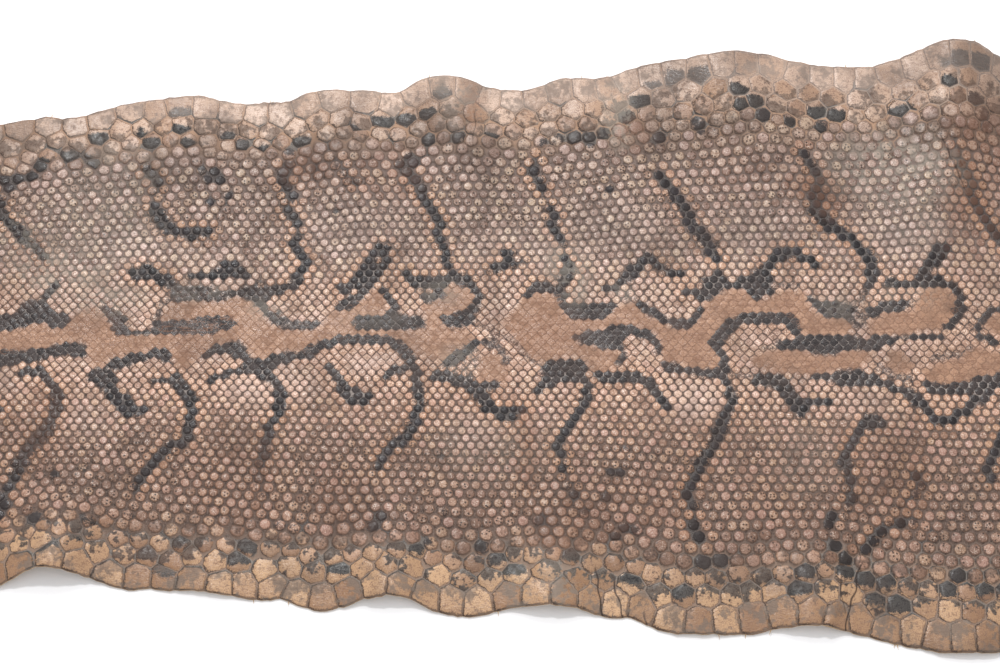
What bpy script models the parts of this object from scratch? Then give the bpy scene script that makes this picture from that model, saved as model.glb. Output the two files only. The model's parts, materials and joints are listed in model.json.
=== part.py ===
"""A length of dried and tanned python skin, lying scale side up on a flat surface.

The snake was opened along its belly, so the spine runs down the middle of the sheet and the large
belly-side scales lie along both long edges. X runs along the body towards the head, Y across it,
and Z is up. The sheet buckles, and it touches the surface only in the hollows between the buckles.
"""

from math import cos, exp, pi, radians, sin

import bmesh
import bpy
from mathutils import Vector

MM = 0.001

# Driving dimensions of the sheet
HIDE_LENGTH = 560 * MM
HIDE_THICKNESS = 1.2 * MM
END_CUT_WANDER = 2.5 * MM  # how far the two cut ends stray from a straight line

# The large belly-side scales, which stand in relief along both long edges
SCALE_PITCH = HIDE_LENGTH / 42
EDGE_ROW_DEPTH = 8.6 * MM
EDGE_ROWS = 4
INNER_ROWS = 10
SCALE_CROWN = 0.5 * MM
SCALE_VALLEY = 0.3 * MM

# Edge by edge, (X along the body, Y across it) in millimetres, from the tail end to the head end
UPPER_EDGE = [
    (-282, 115), (-258, 117.5), (-247, 119.5), (-240, 119.5), (-232, 121.5), (-224, 119.5),
    (-208, 124.5), (-200, 127.5), (-190, 129), (-168, 131), (-157, 132.5), (-148, 131.5),
    (-137, 129), (-125, 129.5), (-105, 131.5), (-98, 135.5), (-80, 136), (-68, 137),
    (-57, 135), (-49, 137), (-44, 141.5), (-28, 142.5), (-20, 142), (-10, 139), (0, 137.5),
    (8, 137), (18, 138), (26, 141.5), (33, 143), (45, 142.5), (62, 146), (68, 149.5),
    (84, 153), (105, 153.5), (124, 156.5), (144, 156.5), (150, 154.5), (157, 153),
    (170, 151), (190, 150.5), (200, 152.5), (220, 158), (235, 160), (250, 158.5),
    (266, 152.5), (282, 148),
]
LOWER_EDGE = [
    (-282, -127), (-262, -129), (-238, -127), (-222, -120), (-205, -122), (-188, -126.5),
    (-179, -129.5), (-168, -128), (-159, -130), (-150, -129.5), (-130, -132), (-112, -134.5),
    (-105, -133.5), (-90, -139), (-80, -139), (-63, -134), (-53, -133), (-45, -134),
    (-28, -140.5), (-14, -142.5), (-3, -140), (8, -138), (24, -138), (36, -138.5),
    (52, -143), (62, -142), (70, -146.5), (80, -150), (104, -151), (117, -151),
    (136, -148), (156, -148), (184, -154.5), (200, -158), (212, -160), (236, -160),
    (262, -159.5), (282, -158),
]

# Where an edge arches up off the surface: X of the crest, half its span, its lift, how far the
# arch reaches in from the edge, and how much the crest leans towards the head as it runs inwards
UPPER_ARCHES = [
    (-232, 22, 4, 55, 0.1),
    (-168, 38, 7, 95, 0.25),
    (-90, 28, 5, 90, 0.3),
    (-28, 24, 11, 110, 0.25),
    (40, 24, 6, 80, 0.2),
    (112, 36, 12, 125, 0.45),
    (238, 34, 18, 135, -0.05),
]
LOWER_ARCHES = [
    (-218, 32, 15, 95, 0.15),
    (-140, 30, 5, 90, 0.05),
    (-53, 26, 11, 95, 0.1),
    (24, 27, 11, 100, 0.1),
    (95, 26, 4, 90, -0.05),
    (148, 24, 11, 95, 0.1),
    (222, 34, 6, 100, 0.2),
]

ARCH_FALL = 1.3  # 1 would let an arch sink evenly from the edge to the end of its reach

# Low swells inside the sheet: X, Y, half-length, half-width, heading in degrees, height
SWELLS = [
    (-225, 70, 48, 24, 70, 5),
    (-150, 55, 40, 22, 100, 4),
    (-70, 70, 45, 18, 110, 5),
    (70, 75, 50, 24, 100, 5),
    (140, 95, 55, 18, 115, 4),
    (215, 65, 50, 20, 78, 6),
    (-175, -60, 42, 24, 75, 5),
    (-95, -55, 45, 22, 95, 4),
    (70, -65, 46, 24, 85, 5),
    (125, -95, 34, 16, 110, 4),
    (190, -60, 48, 22, 70, 6),
    (245, -75, 40, 20, 95, 5),
]

# The raised line left by the spine, higher towards the tail
SPINE_Y = 2 * MM
SPINE_RIDGE_HALF_WIDTH = 9 * MM
SPINE_RIDGE_TAIL = 2.2 * MM
SPINE_RIDGE_HEAD = 0.8 * MM

# Anything lower than this in the sum of the buckles lies flat on the surface
FLAT_BELOW = 1.0 * MM
LIFT_ONSET = 1.5 * MM

HIDE_COLOUR = (0.42, 0.27, 0.18, 1)


def smooth_through(points, x):
    """Y at x on a smooth curve through points given in millimetres, in metres."""
    x /= MM
    k = max(1, min(len(points) - 3, sum(p[0] <= x for p in points) - 1))
    (xa, ya), (xb, yb), (xc, yc), (xd, yd) = points[k - 1:k + 3]
    start, end = (yc - ya) / (xc - xa), (yd - yb) / (xd - xb)
    if x < xb:
        return (yb + start * (x - xb)) * MM
    if x > xc:
        return (yc + end * (x - xc)) * MM
    span = xc - xb
    t = (x - xb) / span
    held = (1 + 2 * t) * (1 - t) ** 2 * yb + t * t * (3 - 2 * t) * yc
    turned = t * (1 - t) ** 2 * span * start - t * t * (1 - t) * span * end
    return (held + turned) * MM


def arch_height(x, inward, arches):
    """Lift at x, a distance inward from the long edge that these arches belong to."""
    total = 0.0
    for crest, half_span, lift, reach, lean in arches:
        from_crest = (x - crest * MM - lean * inward) / (half_span * MM)
        along = inward / (reach * MM)
        if abs(from_crest) < 1 and along < 1:
            total += lift * MM * cos(pi / 2 * from_crest) ** 2 * (1 - along) ** ARCH_FALL
    return total


def swell_height(x, y):
    total = 0.0
    for centre_x, centre_y, half_length, half_width, heading, height in SWELLS:
        dx, dy = x / MM - centre_x, y / MM - centre_y
        c, s = cos(radians(heading)), sin(radians(heading))
        along, across = (dx * c + dy * s) / half_length, (dy * c - dx * s) / half_width
        total += height * MM * exp(-along * along - across * across)
    return total


def spine_height(x, y):
    towards_head = x / HIDE_LENGTH + 0.5
    ridge = SPINE_RIDGE_TAIL + (SPINE_RIDGE_HEAD - SPINE_RIDGE_TAIL) * towards_head
    return ridge * exp(-(((y - SPINE_Y) / SPINE_RIDGE_HALF_WIDTH) ** 2))


def underside_height(x, y, upper, lower):
    """Height of the flesh side above the surface: buckled, but flat wherever it lies down."""
    raised = (
        arch_height(x, upper - y, UPPER_ARCHES)
        + arch_height(x, y - lower, LOWER_ARCHES)
        + swell_height(x, y)
        + spine_height(x, y)
        - FLAT_BELOW
    )
    return raised * raised / (raised + LIFT_ONSET) if raised > 0 else 0.0


def row_places(half_width):
    """Distances from the spine of the net's lines on one side, from the spine to the edge."""
    inner = half_width - EDGE_ROWS * EDGE_ROW_DEPTH
    steps = [inner * (k + 1) / INNER_ROWS for k in range(INNER_ROWS)]
    return steps + [inner + (k + 1) * EDGE_ROW_DEPTH for k in range(EDGE_ROWS)]


def scale_relief(column, row, rows):
    """Crown or valley of the large scales, which alternate from row to row near both edges."""
    from_edge = min(row, rows - row)
    if from_edge > EDGE_ROWS:
        return 0.0
    fade = 1 - from_edge / (EDGE_ROWS + 1)
    return fade * (SCALE_CROWN if (column + from_edge) % 2 else -SCALE_VALLEY)


def build_hide():
    """The flesh side as an open net, which Solidify thickens upwards into the scale side."""
    columns, half_rows = round(2 * HIDE_LENGTH / SCALE_PITCH), INNER_ROWS + EDGE_ROWS
    rows = 2 * half_rows
    net = bmesh.new()
    bmesh.ops.create_grid(net, x_segments=columns, y_segments=rows, size=0.5)
    thickness_share = []
    for v in net.verts:
        column, row = round((v.co.x + 0.5) * columns), round((v.co.y + 0.5) * rows)
        x = (column / columns - 0.5) * HIDE_LENGTH
        upper, lower = smooth_through(UPPER_EDGE, x), smooth_through(LOWER_EDGE, x)
        if row >= half_rows:
            y = SPINE_Y + ([0.0] + row_places(upper - SPINE_Y))[row - half_rows]
        else:
            y = SPINE_Y - ([0.0] + row_places(SPINE_Y - lower))[half_rows - row]
        if column in (0, columns):
            x += END_CUT_WANDER * sin(3 * pi * row / rows + column)
        v.co = Vector((x, y, underside_height(x, y, upper, lower)))
        full = HIDE_THICKNESS + SCALE_CROWN
        thickness_share.append((HIDE_THICKNESS + scale_relief(column, row, rows)) / full)
    centre_on_origin(net)
    mesh = bpy.data.meshes.new("python_skin")
    net.to_mesh(mesh)
    net.free()
    hide = bpy.data.objects.new("python_skin", mesh)
    relief = hide.vertex_groups.new(name="scale_relief")
    for index, share in enumerate(thickness_share):
        relief.add([index], share, "REPLACE")
    return hide


def centre_on_origin(net):
    """The origin is the middle of the sheet's own box, on the surface that it lies on."""
    xs, ys = [v.co.x for v in net.verts], [v.co.y for v in net.verts]
    middle = Vector(((max(xs) + min(xs)) / 2, (max(ys) + min(ys)) / 2, 0))
    bmesh.ops.translate(net, verts=net.verts[:], vec=-middle)


def thicken(hide):
    wall = hide.modifiers.new("hide thickness", "SOLIDIFY")
    wall.thickness = HIDE_THICKNESS + SCALE_CROWN
    wall.offset = 1
    wall.use_quality_normals = True
    wall.vertex_group = "scale_relief"


def tanned_hide():
    material = bpy.data.materials.new("tanned_hide")
    material.use_nodes = True
    shader = material.node_tree.nodes["Principled BSDF"]
    shader.inputs["Base Color"].default_value = HIDE_COLOUR
    shader.inputs["Roughness"].default_value = 0.5
    shader.inputs["Metallic"].default_value = 0.0
    return material


def main():
    for old in list(bpy.data.objects):
        bpy.data.objects.remove(old)
    collection = bpy.data.collections.new("python skin")
    bpy.context.scene.collection.children.link(collection)
    hide = build_hide()
    thicken(hide)
    hide.data.materials.append(tanned_hide())
    hide.data.shade_smooth()
    collection.objects.link(hide)


main()
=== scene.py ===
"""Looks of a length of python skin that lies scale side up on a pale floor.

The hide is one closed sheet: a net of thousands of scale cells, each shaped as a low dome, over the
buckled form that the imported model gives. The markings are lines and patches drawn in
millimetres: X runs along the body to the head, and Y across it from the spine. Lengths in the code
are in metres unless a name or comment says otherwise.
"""

import json
from math import cos, hypot, pi, radians, sin, sqrt, tan

import bmesh
import bpy
import numpy as np
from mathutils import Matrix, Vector, noise
from mathutils.bvhtree import BVHTree
from mathutils.geometry import delaunay_2d_cdt

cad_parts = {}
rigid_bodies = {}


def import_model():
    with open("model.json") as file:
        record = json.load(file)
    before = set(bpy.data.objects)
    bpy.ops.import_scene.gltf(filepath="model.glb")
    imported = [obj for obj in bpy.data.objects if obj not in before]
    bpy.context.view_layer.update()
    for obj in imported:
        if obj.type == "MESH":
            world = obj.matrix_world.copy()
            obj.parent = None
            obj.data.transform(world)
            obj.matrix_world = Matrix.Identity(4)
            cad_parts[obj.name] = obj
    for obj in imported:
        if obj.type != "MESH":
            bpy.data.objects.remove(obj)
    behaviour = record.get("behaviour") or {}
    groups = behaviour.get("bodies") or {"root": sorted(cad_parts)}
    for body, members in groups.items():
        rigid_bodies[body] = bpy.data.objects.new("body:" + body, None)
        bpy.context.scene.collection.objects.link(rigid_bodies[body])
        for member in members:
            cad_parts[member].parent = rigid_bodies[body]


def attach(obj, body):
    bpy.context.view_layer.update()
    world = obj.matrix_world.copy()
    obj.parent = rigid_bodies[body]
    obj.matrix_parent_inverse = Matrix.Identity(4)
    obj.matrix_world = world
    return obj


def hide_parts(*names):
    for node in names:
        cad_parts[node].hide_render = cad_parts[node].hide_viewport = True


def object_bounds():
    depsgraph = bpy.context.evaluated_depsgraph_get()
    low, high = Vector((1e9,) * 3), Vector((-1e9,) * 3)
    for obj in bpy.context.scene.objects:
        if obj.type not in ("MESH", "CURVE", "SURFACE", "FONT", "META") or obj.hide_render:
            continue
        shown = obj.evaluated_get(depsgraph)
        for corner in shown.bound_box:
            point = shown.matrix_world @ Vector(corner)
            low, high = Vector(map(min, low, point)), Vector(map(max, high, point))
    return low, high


MM = 0.001
for old in list(bpy.data.objects):
    bpy.data.objects.remove(old)
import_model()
cad_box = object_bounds()

# Driving dimensions of the hide
HIDE_THICKNESS = 1.2 * MM
HIDE_LENGTH = cad_box[1][0] - cad_box[0][0]
ROW_REACH = HIDE_LENGTH / 2 + 14 * MM  # the scale rows run on before the ends are cut
REFERENCE_HALF_WIDTH = 142 * MM

# The camera: what its picture spans at the spine, and where it stands
PHOTO_WIDTH_AT_SPINE = 500 * MM
CAMERA_DISTANCE = 1.1
CAMERA_ELEVATION = radians(70)
LOOK_AT_Y = 2.5 * MM
SENSOR_WIDTH = 36  # in millimetres, as the lens is

# Scales from the spine out to the edge: distance from the spine, length along the body, and the
# step to the next row, all in millimetres at the reference half-width
SCALE_SPACING = [
    (0, 4.7, 2.6), (24, 4.8, 3.1), (40, 4.9, 3.7), (54, 5.0, 3.9), (75, 5.3, 4.3), (89, 6.0, 4.8),
    (102, 7.0, 5.7), (112, 9.0, 7.6), (122, 12.0, 10.2), (134, 13.0, 11.4), (156, 13.0, 11.4),
]

# Scale shapes: distance from the spine (mm), the dome's height (mm), how far the free edge towards
# the tail stands up (mm), and how round the scale is
SCALE_SHAPES = [
    (0, 0.08, 0.04, 0.0), (10, 0.14, 0.06, 0.0), (24, 0.26, 0.10, 0.2), (40, 0.45, 0.13, 0.8),
    (60, 0.60, 0.15, 1.0), (88, 0.72, 0.20, 1.0), (104, 0.85, 0.34, 0.6), (120, 0.75, 0.40, 0.3),
    (132, 0.32, 0.25, 0.0),
]
GROOVE_SHARE = 0.4  # the groove between scales, as a share of the dome's height
FIRST_RING = 0.80  # the rings of a dome, as shares of the cell's radius
SECOND_RING = 0.56
ONE_RING_WITHIN = 40 * MM  # the small scales beside the spine have one ring fewer
ROUNDING = 0.8  # how far the outer ring of a round scale draws its corners in
PALE_SMOOTHNESS = 0.8  # how much the dome and groove flatten under a pale marking

# How the net of scales is laid out
LAST_ROW_IN = 3.6 * MM  # no row lies nearer the edge than this
HELD_NEAR_EDGE = 14 * MM  # scales this near an edge or an end keep their places in the easing
HELD_NEAR_END = 8 * MM
EASING_ROUNDS = 3
EASING_SHARE = 0.35
GHOST_ROWS = 2.2  # how many rows are mirrored past the edge
CORNER_REACH = 0.55  # how far a corner may lie from the middle of its three scales
UNEVENNESS = 0.03  # of the scales' places, as a share of their length
PLATE_UNEVENNESS = 0.07
DROP_UNEVENNESS = 0.12  # of the gaps, where a row drops a scale
SPREAD_OVER = 8  # scales on each side take up the gap that a dropped one leaves
SPREAD_ROUNDS = 10
END_TRIM = 1 * MM
END_MARGIN = 2 * MM  # corners this near an end belong to its cut, not to the rim

# The rim: its cuts between two corners, how far in from the outline it lies, more where two scales
# meet, and the depth and length of its frays and waves
RIM_CUTS = 4
RIM_INSET = 0.3 * MM
SEAM_BITE = 0.35 * MM
FRAY_DEPTH = 0.45 * MM
FRAY_LENGTH = 2.3 * MM
WAVE_DEPTH = 0.7 * MM
WAVE_LENGTH = 9 * MM

# How the marks are spread and blurred, and the mean half-width of the hide, in millimetres
MARK_MARGIN = 5
LINE_SPREAD = 0.5
MARK_BLUR = 0.9
HALO_WIDTH = 4.5
HALO_BLUR = 2.5
MEAN_HALF_WIDTH = 135

# Folds and creases of the flanks: height (below zero for a crease), half-width and points, in mm
FOLDS = [
    (2.0, 2.0, [(166, -108), (165, -118), (163, -128), (160, -136), (157, -146)]),
    (-0.7, 1.1, [(170, -98), (172, -110), (169, -128), (165, -142), (163, -151)]),
    (-0.7, 1.0, [(51, -102), (50, -112), (53, -124)]),
    (-0.6, 0.9, [(58, -118), (60, -130)]),
    (-0.6, 0.9, [(66, -130), (68, -142)]),
    (1.5, 1.5, [(55, -104), (57, -118), (63, -134)]),
    (-0.6, 1.0, [(-208, -92), (-195, -96), (-184, -102)]),
    (1.3, 1.6, [(-12, 108), (-10, 124), (-14, 143)]),
    (-0.6, 1.0, [(-6, 112), (-5, 128), (-8, 144)]),
    (-0.5, 1.0, [(8, -112), (20, -122), (34, -128)]),
    (0.7, 1.4, [(2, -118), (18, -130), (40, -136)]),
    (0.9, 1.6, [(101, 104), (104, 120), (99, 138)]),
    (1.4, 1.7, [(232, 84), (236, 104), (238, 124)]),
    (-0.5, 1.0, [(-86, -84), (-80, -96), (-82, -108)]),
]

# Stiff fibres at the cut edges: their radii, then for each its X along the body, its side of the
# spine and its length, in millimetres
FIBRE_ROOT = 0.30 * MM
FIBRE_TIP = 0.06 * MM
EDGE_FIBRES = [
    (-37, 1, 3.0), (43, 1, 2.6), (-119, 1, 3.0), (-118.4, 1, 2.2), (181, 1, 3.0), (247, 1, 2.8),
    (-232, 1, 2.4), (-118, -1, 2.6), (-101, -1, 2.6), (-1, -1, 3.0), (104, -1, 2.8), (117, -1, 2.4),
    (129, -1, 3.0), (188, -1, 2.6), (188.8, -1, 3.2),
]

# Places and sizes from here on are in millimetres

# Places of painted sheen, a greyish-white veil of reflected light over the scales: X, Y, half-length,
# half-width, strength
GREY_SHEEN_PLACES = [
    (204, 93, 30, 20, 0.75), (182, 100, 12, 14, 0.4), (-222, 36, 26, 13, 0.6), (-196, 20, 18, 8, 0.55),
    (-240, 55, 16, 12, 0.4), (62, 122, 9, 18, 0.6), (-204, 62, 26, 26, 0.35), (-196, 92, 26, 14, 0.3),
    (38, 33, 8, 14, 0.6), (-28, 24, 10, 7, 0.4), (28, 40, 6, 10, 0.5), (-66, 10, 20, 5, 0.2),
    (-118, 15, 10, 6, 0.45), (-152, 25, 14, 5, 0.35), (-20, -12, 10, 8, 0.4), (170, 17, 12, 6, 0.3),
    (205, 22, 16, 6, 0.35), (62, 24, 6, 5, 0.5), (-18, 128, 14, 16, 0.3), (24, -124, 24, 12, 0.3),
    (215, 60, 18, 10, 0.3), (150, -62, 16, 18, 0.2), (-5, -60, 26, 14, 0.2),
]
# Reddish-brown places, in the same form: partly the hide's own colour, partly painted shade on the slopes
# of the folds
RUDDY_AND_SHADE_PLACES = [
    (246, 96, 16, 34, 0.8), (170, 78, 9, 12, 0.7), (240, 50, 14, 22, 0.5), (70, 112, 8, 10, 0.6),
    (32, -96, 18, 14, 0.5), (-100, 92, 12, 10, 0.5), (-60, 88, 20, 14, 0.35), (120, 92, 22, 16, 0.3),
    (-230, -44, 20, 20, 0.35), (-130, -74, 24, 26, 0.4), (-76, -84, 16, 18, 0.45),
    (60, -88, 26, 16, 0.35), (13, -60, 5, 22, 0.8), (234, 72, 7, 14, 0.9), (153, 84, 8, 7, 0.7),
    (-14, 126, 5, 12, 0.8), (134, -86, 20, 20, 0.3), (190, -70, 20, 22, 0.35), (20, 3, 20, 12, 0.5),
    (-202, 8, 12, 9, 0.35), (-155, -4, 9, 8, 0.35), (-248, 30, 14, 14, 0.5), (-170, -112, 40, 8, 0.3),
    (90, -4, 12, 12, 0.25),
]
# Glossy places, in the same form: a pinkish painted sheen on the scales, and a smoother glaze
GLOSSY_SHEEN_PLACES = [
    (-117, -26, 20, 9, 0.9), (97, -33, 16, 9, 0.9), (-12, -48, 14, 10, 0.5), (-62, -14, 14, 5, 0.5),
    (-250, -24, 14, 10, 0.3), (30, -44, 12, 12, 0.35), (180, -38, 14, 8, 0.4), (-205, -40, 12, 12, 0.4),
    (200, 56, 20, 12, 0.45), (-180, 50, 22, 12, 0.4), (-75, 60, 26, 14, 0.4), (20, 52, 26, 12, 0.4),
    (60, 62, 26, 12, 0.35), (-140, 36, 12, 10, 0.35), (130, 56, 16, 14, 0.3),
]

# Pale markings along the spine, as outlines
PALE_PATCHES = [
    [(-290, 4), (-249, 4), (-241, 5), (-236, 7), (-228, 8), (-224, 4.5), (-218.5, 5), (-215.5, 9),
     (-211.5, 13.5), (-208, 15.7), (-202, 15.7), (-199, 13.5), (-196.5, 10), (-194, 5), (-190.5, 2),
     (-172, 2), (-169, 12), (-167, 16.5), (-164, 19.5), (-156, 19.5), (-142, 18.5), (-136, 21.5),
     (-129, 22), (-125, 20), (-120, 13.5), (-117, 9.5), (-113.5, 6.5), (-107, 4.5), (-97, 4), (-91, 5),
     (-88, 8.5), (-85, 13.5), (-79, 14.3), (-75, 17), (-71.5, 20), (-66.5, 21.5), (-64, 25),
     (-61.5, 25.7), (-59, 22), (-57, 18.5), (-57, 15), (-60, 12), (-67, 12), (-73, 10.5), (-73.5, 6.5),
     (-71, 5), (-48.5, 4.7), (-40, 5.7), (-37, 8), (-38, 13.5), (-39.5, 16.5), (-36.5, 18.5), (-32, 20),
     (-29.5, 23.5), (-28, 26.5), (-23, 28), (-18.5, 29.3), (-15, 26.5), (-13, 21.5), (-14.5, 18),
     (-17, 15), (-21.5, 13.3), (-27, 12.5), (-28.5, 9.3), (-25.7, 5.7), (-18.5, 4.3), (-14.3, 1.4),
     (-13.6, -0.7), (-17, -3.5), (-23, -8), (-27, -10.7), (-34, -11), (-40, -9.3), (-45.7, -6.4),
     (-48.5, -3), (-51.5, 0), (-60, 0.7), (-83, 0.7), (-88.5, -0.7), (-93, -3.5), (-95.7, -7),
     (-101.5, -6.7), (-111.5, -7), (-117, -10.7), (-121.5, -11), (-124.5, -8), (-127, -4.3), (-130, -1.5),
     (-136.5, -2), (-142, -3.3), (-145.7, -5.7), (-149.5, -9.3), (-152, -12.4), (-155.7, -15),
     (-159.5, -15), (-161.5, -12), (-163.5, -9.3), (-165.7, -5.7), (-170, -5), (-175, -6.4),
     (-186.5, -8.6), (-195, -10.7), (-196.5, -13.5), (-198.5, -15.7), (-202, -16), (-204.5, -12),
     (-205, -8), (-206.5, -3.5), (-209.5, -1.7), (-215, -2), (-221, -3.3), (-228, -5.7), (-239.5, -7),
     (-248.5, -7.6), (-290, -8)],
    [(5, 13.5), (9.3, 17), (11.5, 20), (15, 23.3), (22, 24.3), (29.3, 24), (31.4, 21.4), (30, 18),
     (31.4, 13.6), (35, 10.7), (42, 9.7), (49.3, 10), (55, 12), (58, 15.7), (61.5, 18), (65, 19),
     (68.6, 18), (71.4, 15), (74.3, 12), (79.3, 9.3), (83.6, 6.7), (88, 4.7), (93.6, 4.3), (96.4, 6.4),
     (99.3, 9.3), (101.4, 13.6), (102, 18), (105, 20.7), (109.3, 23), (113.6, 25.7), (118, 26.4),
     (123.6, 25), (126.4, 22), (130, 20), (137, 22), (140.7, 24.7), (145.7, 25.3), (153.6, 24.7),
     (153.6, 20.7), (156.4, 16.4), (159.3, 13), (164.3, 11), (170, 11), (175.7, 8.6), (177, 5), (173, 2),
     (163, 1.7), (153, 2), (150, 5), (148, 9.3), (145.7, 12), (140, 13.3), (123.6, 13), (119.3, 12),
     (115, 10.7), (112, 8), (109.3, 3.6), (106.4, 0.7), (104.3, -3), (106.4, -6.4), (109.3, -9.3),
     (110, -13.6), (108, -15.7), (100.7, -16.4), (95, -15), (89.3, -13), (82, -12.4), (80.7, -9.3),
     (80.7, -5), (80, -0.7), (78, 3), (73.6, 5.3), (66.4, 6.7), (59.3, 7), (53.6, 6), (49.3, 4.3),
     (40.7, 3.6), (36.4, 1.4), (36.4, -0.7), (40.7, -3), (48, -5), (56.4, -6.4), (59.3, -8), (60, -10.7),
     (58, -13.6), (55, -15.7), (49.3, -18), (45, -16.4), (43, -13), (40.7, -10.4), (32, -9.3),
     (28, -10.7), (20.7, -13.3), (16.4, -12), (14.3, -9.3), (10.7, -5), (8.6, -0.7), (5, 3.6), (0.7, 6.4),
     (0.7, 9.3)],
    [(125, -11), (130, -8), (140, -6), (148.6, -6), (155.7, -8.6), (165.7, -9.3), (171.4, -7.6),
     (178.6, -6), (183.6, -7), (185, -10), (181.4, -13.6), (177, -16.4), (168.6, -16.4), (158.6, -18.6),
     (150, -19.3), (138.6, -18), (130, -16.4), (126, -14.5)],
    [(195, -7), (200, -6.7), (202, -10.7), (205.7, -14.3), (202, -18.6), (195.7, -18.6), (192, -14.3)],
    [(183, 5), (185, 8.6), (190, 10.7), (194.3, 13), (201.4, 13.6), (208, 13.6), (208.6, 18),
     (210.7, 21.4), (213, 25), (217, 27), (223, 27), (227, 25), (230, 21.4), (230, 15.7), (227, 12),
     (224.3, 8), (221.4, 5), (211.4, 4.3), (203, 2), (194.3, 1.4), (187, 2)],
    [(242.5, 9), (251, 13.6), (262, 14), (272, 10), (268, 5), (254, 3), (248.6, 2), (244.3, 5)],
    [(208, -15), (214.3, -17), (217, -13.6), (223, -11.4), (230, -11.4), (232, -7), (237, -5),
     (244.3, -6.4), (253, -9.3), (268, -9), (275, -14), (262, -17), (247, -18.6), (238.6, -20),
     (231.4, -23.6), (224.3, -24.7), (215.7, -24.3), (212, -21)],
    [(-10, -10), (-3, -8), (3, -12), (4.5, -20), (2, -25), (-4, -23), (-11, -21)],
]

# Painted shade in the creases that run across the body: X at the low end, how far X drifts for
# each millimetre of Y, the lowest and highest Y, half-width and strength
CREASE_SHADES = [
    (163.7, 0.29, -151, -114, 0.8, 0.9), (164.6, -0.13, -141, -121, 0.5, 0.7),
    (172.5, -0.05, -116, -100, 0.7, 0.7), (49.3, -0.12, -147, -117, 0.8, 0.9),
    (61, -0.26, -150, -121, 0.8, 0.9), (70.2, -0.10, -153, -138, 0.7, 0.8),
    (-13.5, 0.0, 106, 125, 0.7, 0.6), (-11.5, 0.02, 127, 138, 0.4, 0.4),
    (237.5, -0.38, 77, 111, 1.0, 0.7),
]

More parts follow.
